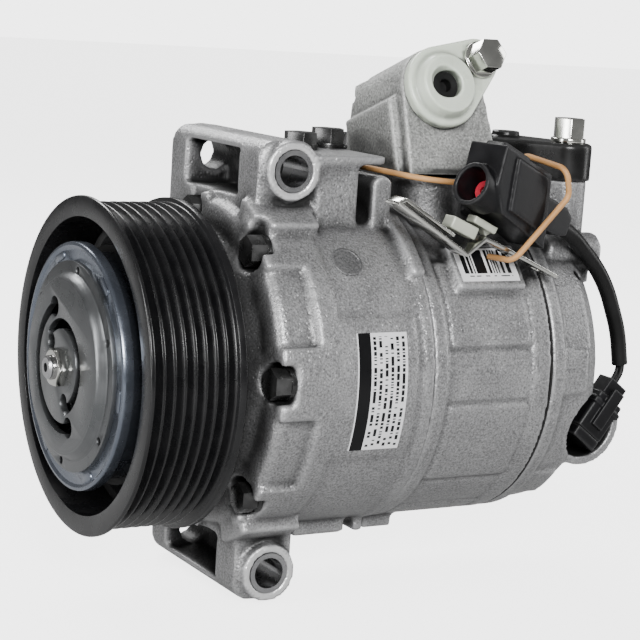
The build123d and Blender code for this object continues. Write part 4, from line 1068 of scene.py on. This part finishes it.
@dataclass
class Casing(Assembly):
    """The three castings with their bolts, seals and films."""

    voxels: Dict[str, float] = field(default_factory=lambda: {
        "front_housing": 0.00103, "cylinder_block": 0.00095, "rear_head": 0.00082,
    })
    rounds: int = 1
    finish_of: Dict[str, str] = field(default_factory=lambda: {
        "lug_bushes": "ground_steel", "gaskets": "black_rubber", "labels": "printed_film",
        "o_rings": "black_rubber", "reed_plates": "ground_steel", "valve_plate": "ground_steel",
        "shaft_bearings": "ground_steel", "shaft_seal": "black_rubber", "circlips": "ground_steel",
        "bearing_inner_race": "ground_steel",
    })
    crisp: Crisp = field(default_factory=lambda: {
        "housing_bolts": (0.0004, "dark_bolt", "dark_bolt"),
        "body_bolts": (0.0004, "dark_bolt", "dark_bolt"),
    })
    lug_faces: Tuple[CutFace, ...] = (
        CutFace(1, (0.0, 67.0), (4.0, 9.3), (-28.6, -27.2)),
        CutFace(1, (0.0, -67.0), (4.0, 9.3), (-28.6, -27.2)),
        CutFace(1, (0.0, 67.0), (4.0, 9.3), (41.2, 42.6)),
        CutFace(1, (0.0, -67.0), (4.0, 9.3), (41.2, 42.6)),
    )

    mark_place: Tuple[float, float] = (0.0148, 44.6)
    mark_radius: float = 0.0054
    wall_radius: float = 0.056

    def details(self) -> None:
        """The castings, with cast corners and machined lug faces, and their cast-in mark."""
        cast = self.book["cast_aluminium"]
        for node, voxel in self.voxels.items():
            cuts = self.lug_faces if node == "front_housing" else ()
            stand_for(Shop.softened(node, voxel, self.rounds, cuts), node, self.body, cast)
        self.mark()

    def mark(self) -> None:
        """A round plain mark cast into the front housing, with a raised rim."""
        rim, deep = self.mark_radius, 0.0012
        outline = [(0.0, -deep), (rim, -deep), (rim, 0.00022), (rim - 0.0002, 0.00034)]
        outline += [(rim - 0.0007, 0.00034), (rim - 0.0009, 0.00012), (0.0, 0.00012)]
        shape = spin_round([(r, 0.0, z) for r, z in outline], False, (0, 0, 1), 72)
        along, angle = self.mark_place[0], math.radians(self.mark_place[1])
        out = Vector((0, -math.cos(angle), math.sin(angle)))
        side = Vector((1, 0, 0))
        turn = Matrix((side, out.cross(side), out)).transposed().to_4x4()
        place = Matrix.Translation(Vector((along, 0, 0)) + out * self.wall_radius)
        bmesh.ops.transform(shape, verts=shape.verts[:], matrix=place @ turn)
        disc = Shop.piece("cast_mark_piece", shape)
        dress(disc, self.book["cast_mark"])
        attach(disc, self.body)


@dataclass
class Drive(Assembly):
    """The pulley, its bearing and the hub, all turning with the shaft.

    Attributes:
        front: X of the pulley's front face, in millimetres.
        flange: Radius of the front flange.
        pitch: Rib pitch.
        grooves: How many grooves.
        bore: Radius inside the rim.
    """

    body: str = "rotor"
    front: float = -59.5
    flange: float = 55.3
    pitch: float = 3.56
    grooves: int = 8
    bore: float = 48.5
    finish_of: Dict[str, str] = field(default_factory=lambda: {
        "pulley_damper": "black_rubber", "bearing_outer_race": "ground_steel", "hub_boss": "ground_steel",
        "shaft": "ground_steel", "lug_plate": "ground_steel", "hinge_pin": "ground_steel",
        "swash_plate": "ground_steel", "return_spring": "ground_steel",
    })
    crisp: Crisp = field(default_factory=lambda: {
        "shaft_nut": (0.0003, "zinc", "zinc_plate"),
        "limiter_plate": (0.00022, "plateau_steel", "plateau_satin"),
        "hub_ring": (0.00022, "hub_steel", "hub_coating"),
    })

    def profile(self) -> List[Tuple[float, float]]:
        """The rim's and web's closed profile.

        Returns:
            (x, r) points in millimetres.
        """
        start = self.front + 1.5
        crest, depth = self.flange - 1.9, 2.9
        points = [(self.front, self.bore), (self.front, self.flange - 0.4), (self.front + 0.4, self.flange)]
        points += [(start - 0.3, self.flange), (start, crest)]
        for k in range(self.grooves):
            mid, root = start + (k + 0.5) * self.pitch, crest - depth
            points += [(mid - 1.53, crest), (mid - 0.35, root), (mid + 0.35, root), (mid + 1.53, crest)]
        rear = start + self.grooves * self.pitch
        edge = self.flange - 0.5
        points += [(rear, crest), (rear + 0.4, edge), (rear + 2.7, edge), (rear + 3.3, edge - 0.6)]
        points += [(rear + 3.3, self.bore)]
        points += [(-34.0, self.bore - 0.5), (-35.0, self.bore - 1.5), (-35.0, 31.5), (-33.0, 31.5)]
        points += [(-33.0, 27.5), (-53.5, 27.5), (-53.5, 31.0), (-40.0, 31.7)]
        points += [(-40.0, self.bore - 1.5), (-41.5, self.bore)]
        return points

    def details(self) -> None:
        """The turned pulley."""
        rim = Shop.turned("pulley_rim_piece", self.profile(), 224, 0.00014)
        stand_for(rim, "pulley_rim", self.body, self.book["pulley_black"])


@dataclass
class Ports(Assembly):
    """The manifold with its caps, plug and bolts."""

    finish_of: Dict[str, str] = field(default_factory=lambda: {"port_plug": "black_rubber"})
    crisp: Crisp = field(default_factory=lambda: {
        "port_bolts": (0.0004, "zinc", "zinc_plate"),
    })
    soft: Soft = field(default_factory=lambda: {
        "manifold": (0.0007, 2, "cast_aluminium", "manifold_cast"),
        "port_cap": (0.0004, 4, "cap_plastic", "cap_plastic"),
        "rear_port_cap": (0.0005, 3, "black_plastic", "black_cap"),
    })


@dataclass
class Harness(Assembly):
    """The valve's plug and lead, the connector and what ties it down."""

    finish_of: Dict[str, str] = field(default_factory=lambda: {
        "control_valve": "ground_steel", "harness_wires": "black_rubber",
        "connector_insert": "red_plastic", "harness_sleeve": "sleeve_black", "elastic_band": "band_rubber",
    })
    crisp: Crisp = field(default_factory=lambda: {
        "harness_bracket": (0.00025, "zinc", "zinc_plate"),
    })
    soft: Soft = field(default_factory=lambda: {
        "harness_connector": (0.0004, 3, "black_plastic", "black_plastic"),
        "harness_plug": (0.0003, 3, "black_plastic", "black_plastic"),
        "valve_coil": (0.0004, 3, "black_plastic", "black_plastic"),
        "bracket_clips": (0.0004, 3, "clip_plastic", "clip_plastic"),
    })
    spring_length: float = 0.0172
    plunger_stroke: float = 0.002
    spring_seat: Tuple[float, float, float] = (0.1155, 0.0236, -0.0185)

    def details(self) -> None:
        """The plunger's spring, as a piece with a mesh of its own."""
        coil = Shop.piece("valve_spring_piece", Shop.merged("valve_spring"))
        stand_for(coil, "valve_spring", self.body, self.book["ground_steel"])
        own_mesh(coil)


@dataclass
class Works(Assembly):
    """The pistons, shoes, balls and plunger."""

    pistons: int = 7

    def details(self) -> None:
        """Dresses every moving piece inside the casing."""
        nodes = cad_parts
        for node in ("bearing_balls", "front_shoes", "valve_plunger"):
            dress(nodes[node], self.book["ground_steel"])
        for k in range(1, self.pistons + 1):
            dress(nodes[f"piston_{k}"], self.book["piston_coat"])
            dress(nodes[f"rear_shoe_{k}"], self.book["ground_steel"])


# ------------------------------------------------------------------ studio
@dataclass(frozen=True)
class SoftBox:
    """One area light.

    Attributes:
        name: Its name.
        place: Where it stands, in metres.
        size: Width and height in metres.
        power: Watts.
    """

    name: str
    place: Tuple[float, float, float]
    size: Tuple[float, float]
    power: float

    def build(self, aim: Vector) -> None:
        """Sets the light up, turned to a point.

        Args:
            aim: Where it points.
        """
        lamp = bpy.data.lights.new(self.name, "AREA")
        lamp.shape = "RECTANGLE"
        lamp.size, lamp.size_y = self.size
        lamp.energy = self.power
        thing = bpy.data.objects.new(self.name, lamp)
        place = Vector(self.place)
        turn = (place - aim).to_track_quat("Z", "Y")
        thing.matrix_world = Matrix.Translation(place) @ turn.to_matrix().to_4x4()
        bpy.context.scene.collection.objects.link(thing)


@dataclass
class Studio:
    """Pale floor, soft light and the camera.

    Attributes:
        place: The camera's place in metres.
        azimuth: Its angle round the vertical, in degrees.
        elevation: Its angle above the horizon.
        roll: Its roll.
        lens: Focal length in millimetres on a 36 mm sensor.
        floor: Height of the floor.
        paper_glow: How bright the floor looks by itself.
        sky_seen: How bright the sky looks.
        sky_light: How much the sky lights.
        boxes: The lights.
    """

    place: Tuple[float, float, float] = (-0.3013, -0.5636, 0.1214)
    azimuth: float = -30.42
    elevation: float = 9.43
    roll: float = 3.82
    lens: float = 107.72
    floor: float = -0.0785
    paper_glow: float = 3.4
    sky_seen: float = 4.2
    sky_light: float = 0.24
    boxes: Tuple[SoftBox, ...] = (
        SoftBox("key_box", (-0.34, -1.05, 0.50), (0.40, 0.30), 23.0),
        SoftBox("side_box", (1.05, -0.35, 0.30), (0.2, 0.8), 4.0),
        SoftBox("back_box", (0.0, 0.85, 0.80), (0.7, 0.3), 13.0),
        SoftBox("front_box", (-1.05, -0.25, 0.30), (0.18, 0.9), 10.0),
    )

    def paper(self) -> bpy.types.Material:
        """The floor's pale paper, bright where it is looked at."""
        material, bench, shader = Finish("floor_pale", (0.45, 0.45, 0.45), (0.46, 0.46, 0.46), 0.85).start()
        shader.inputs["Base Color"].default_value = (0.45, 0.45, 0.45, 1.0)
        shader.inputs["Roughness"].default_value = 0.85
        shader.inputs["Emission Color"].default_value = (1.0, 1.0, 1.0, 1.0)
        seen = bench.add("ShaderNodeLightPath").outputs["Is Camera Ray"]
        bench.fill(shader, "Emission Strength", bench.math("MULTIPLY", seen, self.paper_glow))
        return material

    def sky(self) -> None:
        """A dim even sky that is bright where it is looked at."""
        world = bpy.data.worlds.new("sky")
        world.use_nodes = True
        bench = Bench(world.node_tree)
        light = world.node_tree.nodes["Background"]
        light.inputs["Color"].default_value = (1.0, 1.0, 1.0, 1.0)
        seen = bench.add("ShaderNodeLightPath").outputs["Is Camera Ray"]
        bright = bench.math("MULTIPLY", seen, self.sky_seen - self.sky_light)
        bench.fill(light, "Strength", bench.math("ADD", bright, self.sky_light))
        bpy.context.scene.world = world

    def camera(self) -> None:
        """The camera at the compressor's three-quarter front view."""
        a, e = math.radians(self.azimuth), math.radians(self.elevation)
        back = Vector((math.sin(a) * math.cos(e), -math.cos(a) * math.cos(e), math.sin(e)))
        right = Vector((0, 0, 1)).cross(back).normalized()
        up = back.cross(right)
        r = math.radians(self.roll)
        across = math.cos(r) * right + math.sin(r) * up
        above = -math.sin(r) * right + math.cos(r) * up
        lens = bpy.data.cameras.new("view")
        lens.sensor_width = 36.0
        lens.lens = self.lens
        lens.clip_start, lens.clip_end = 0.01, 50.0
        thing = bpy.data.objects.new("view", lens)
        turn = Matrix((across, above, back)).transposed().to_4x4()
        thing.matrix_world = Matrix.Translation(Vector(self.place)) @ turn
        bpy.context.scene.collection.objects.link(thing)
        bpy.context.scene.camera = thing

    def build(self) -> None:
        """Builds the floor, the sky, the lights and the camera."""
        shape = bmesh.new()
        bmesh.ops.create_grid(shape, x_segments=1, y_segments=1, size=6.0)
        bmesh.ops.translate(shape, verts=shape.verts[:], vec=(0, 0, self.floor))
        ground = Shop.piece("floor", shape)
        dress(ground, self.paper())
        self.sky()
        for box in self.boxes:
            box.build(Vector((0.02, 0.0, 0.01)))
        self.camera()
        LOG.info("studio done")


def main() -> None:
    """Builds the compressor's looks and its studio."""
    logging.basicConfig(level=logging.INFO, format="%(message)s")
    book = FinishBook()
    book.build()
    for assembly in (Casing(book), Drive(book), Ports(book), Harness(book), Works(book)):
        assembly.build()
    Studio().build()


if __name__ == "__main__":
    main()
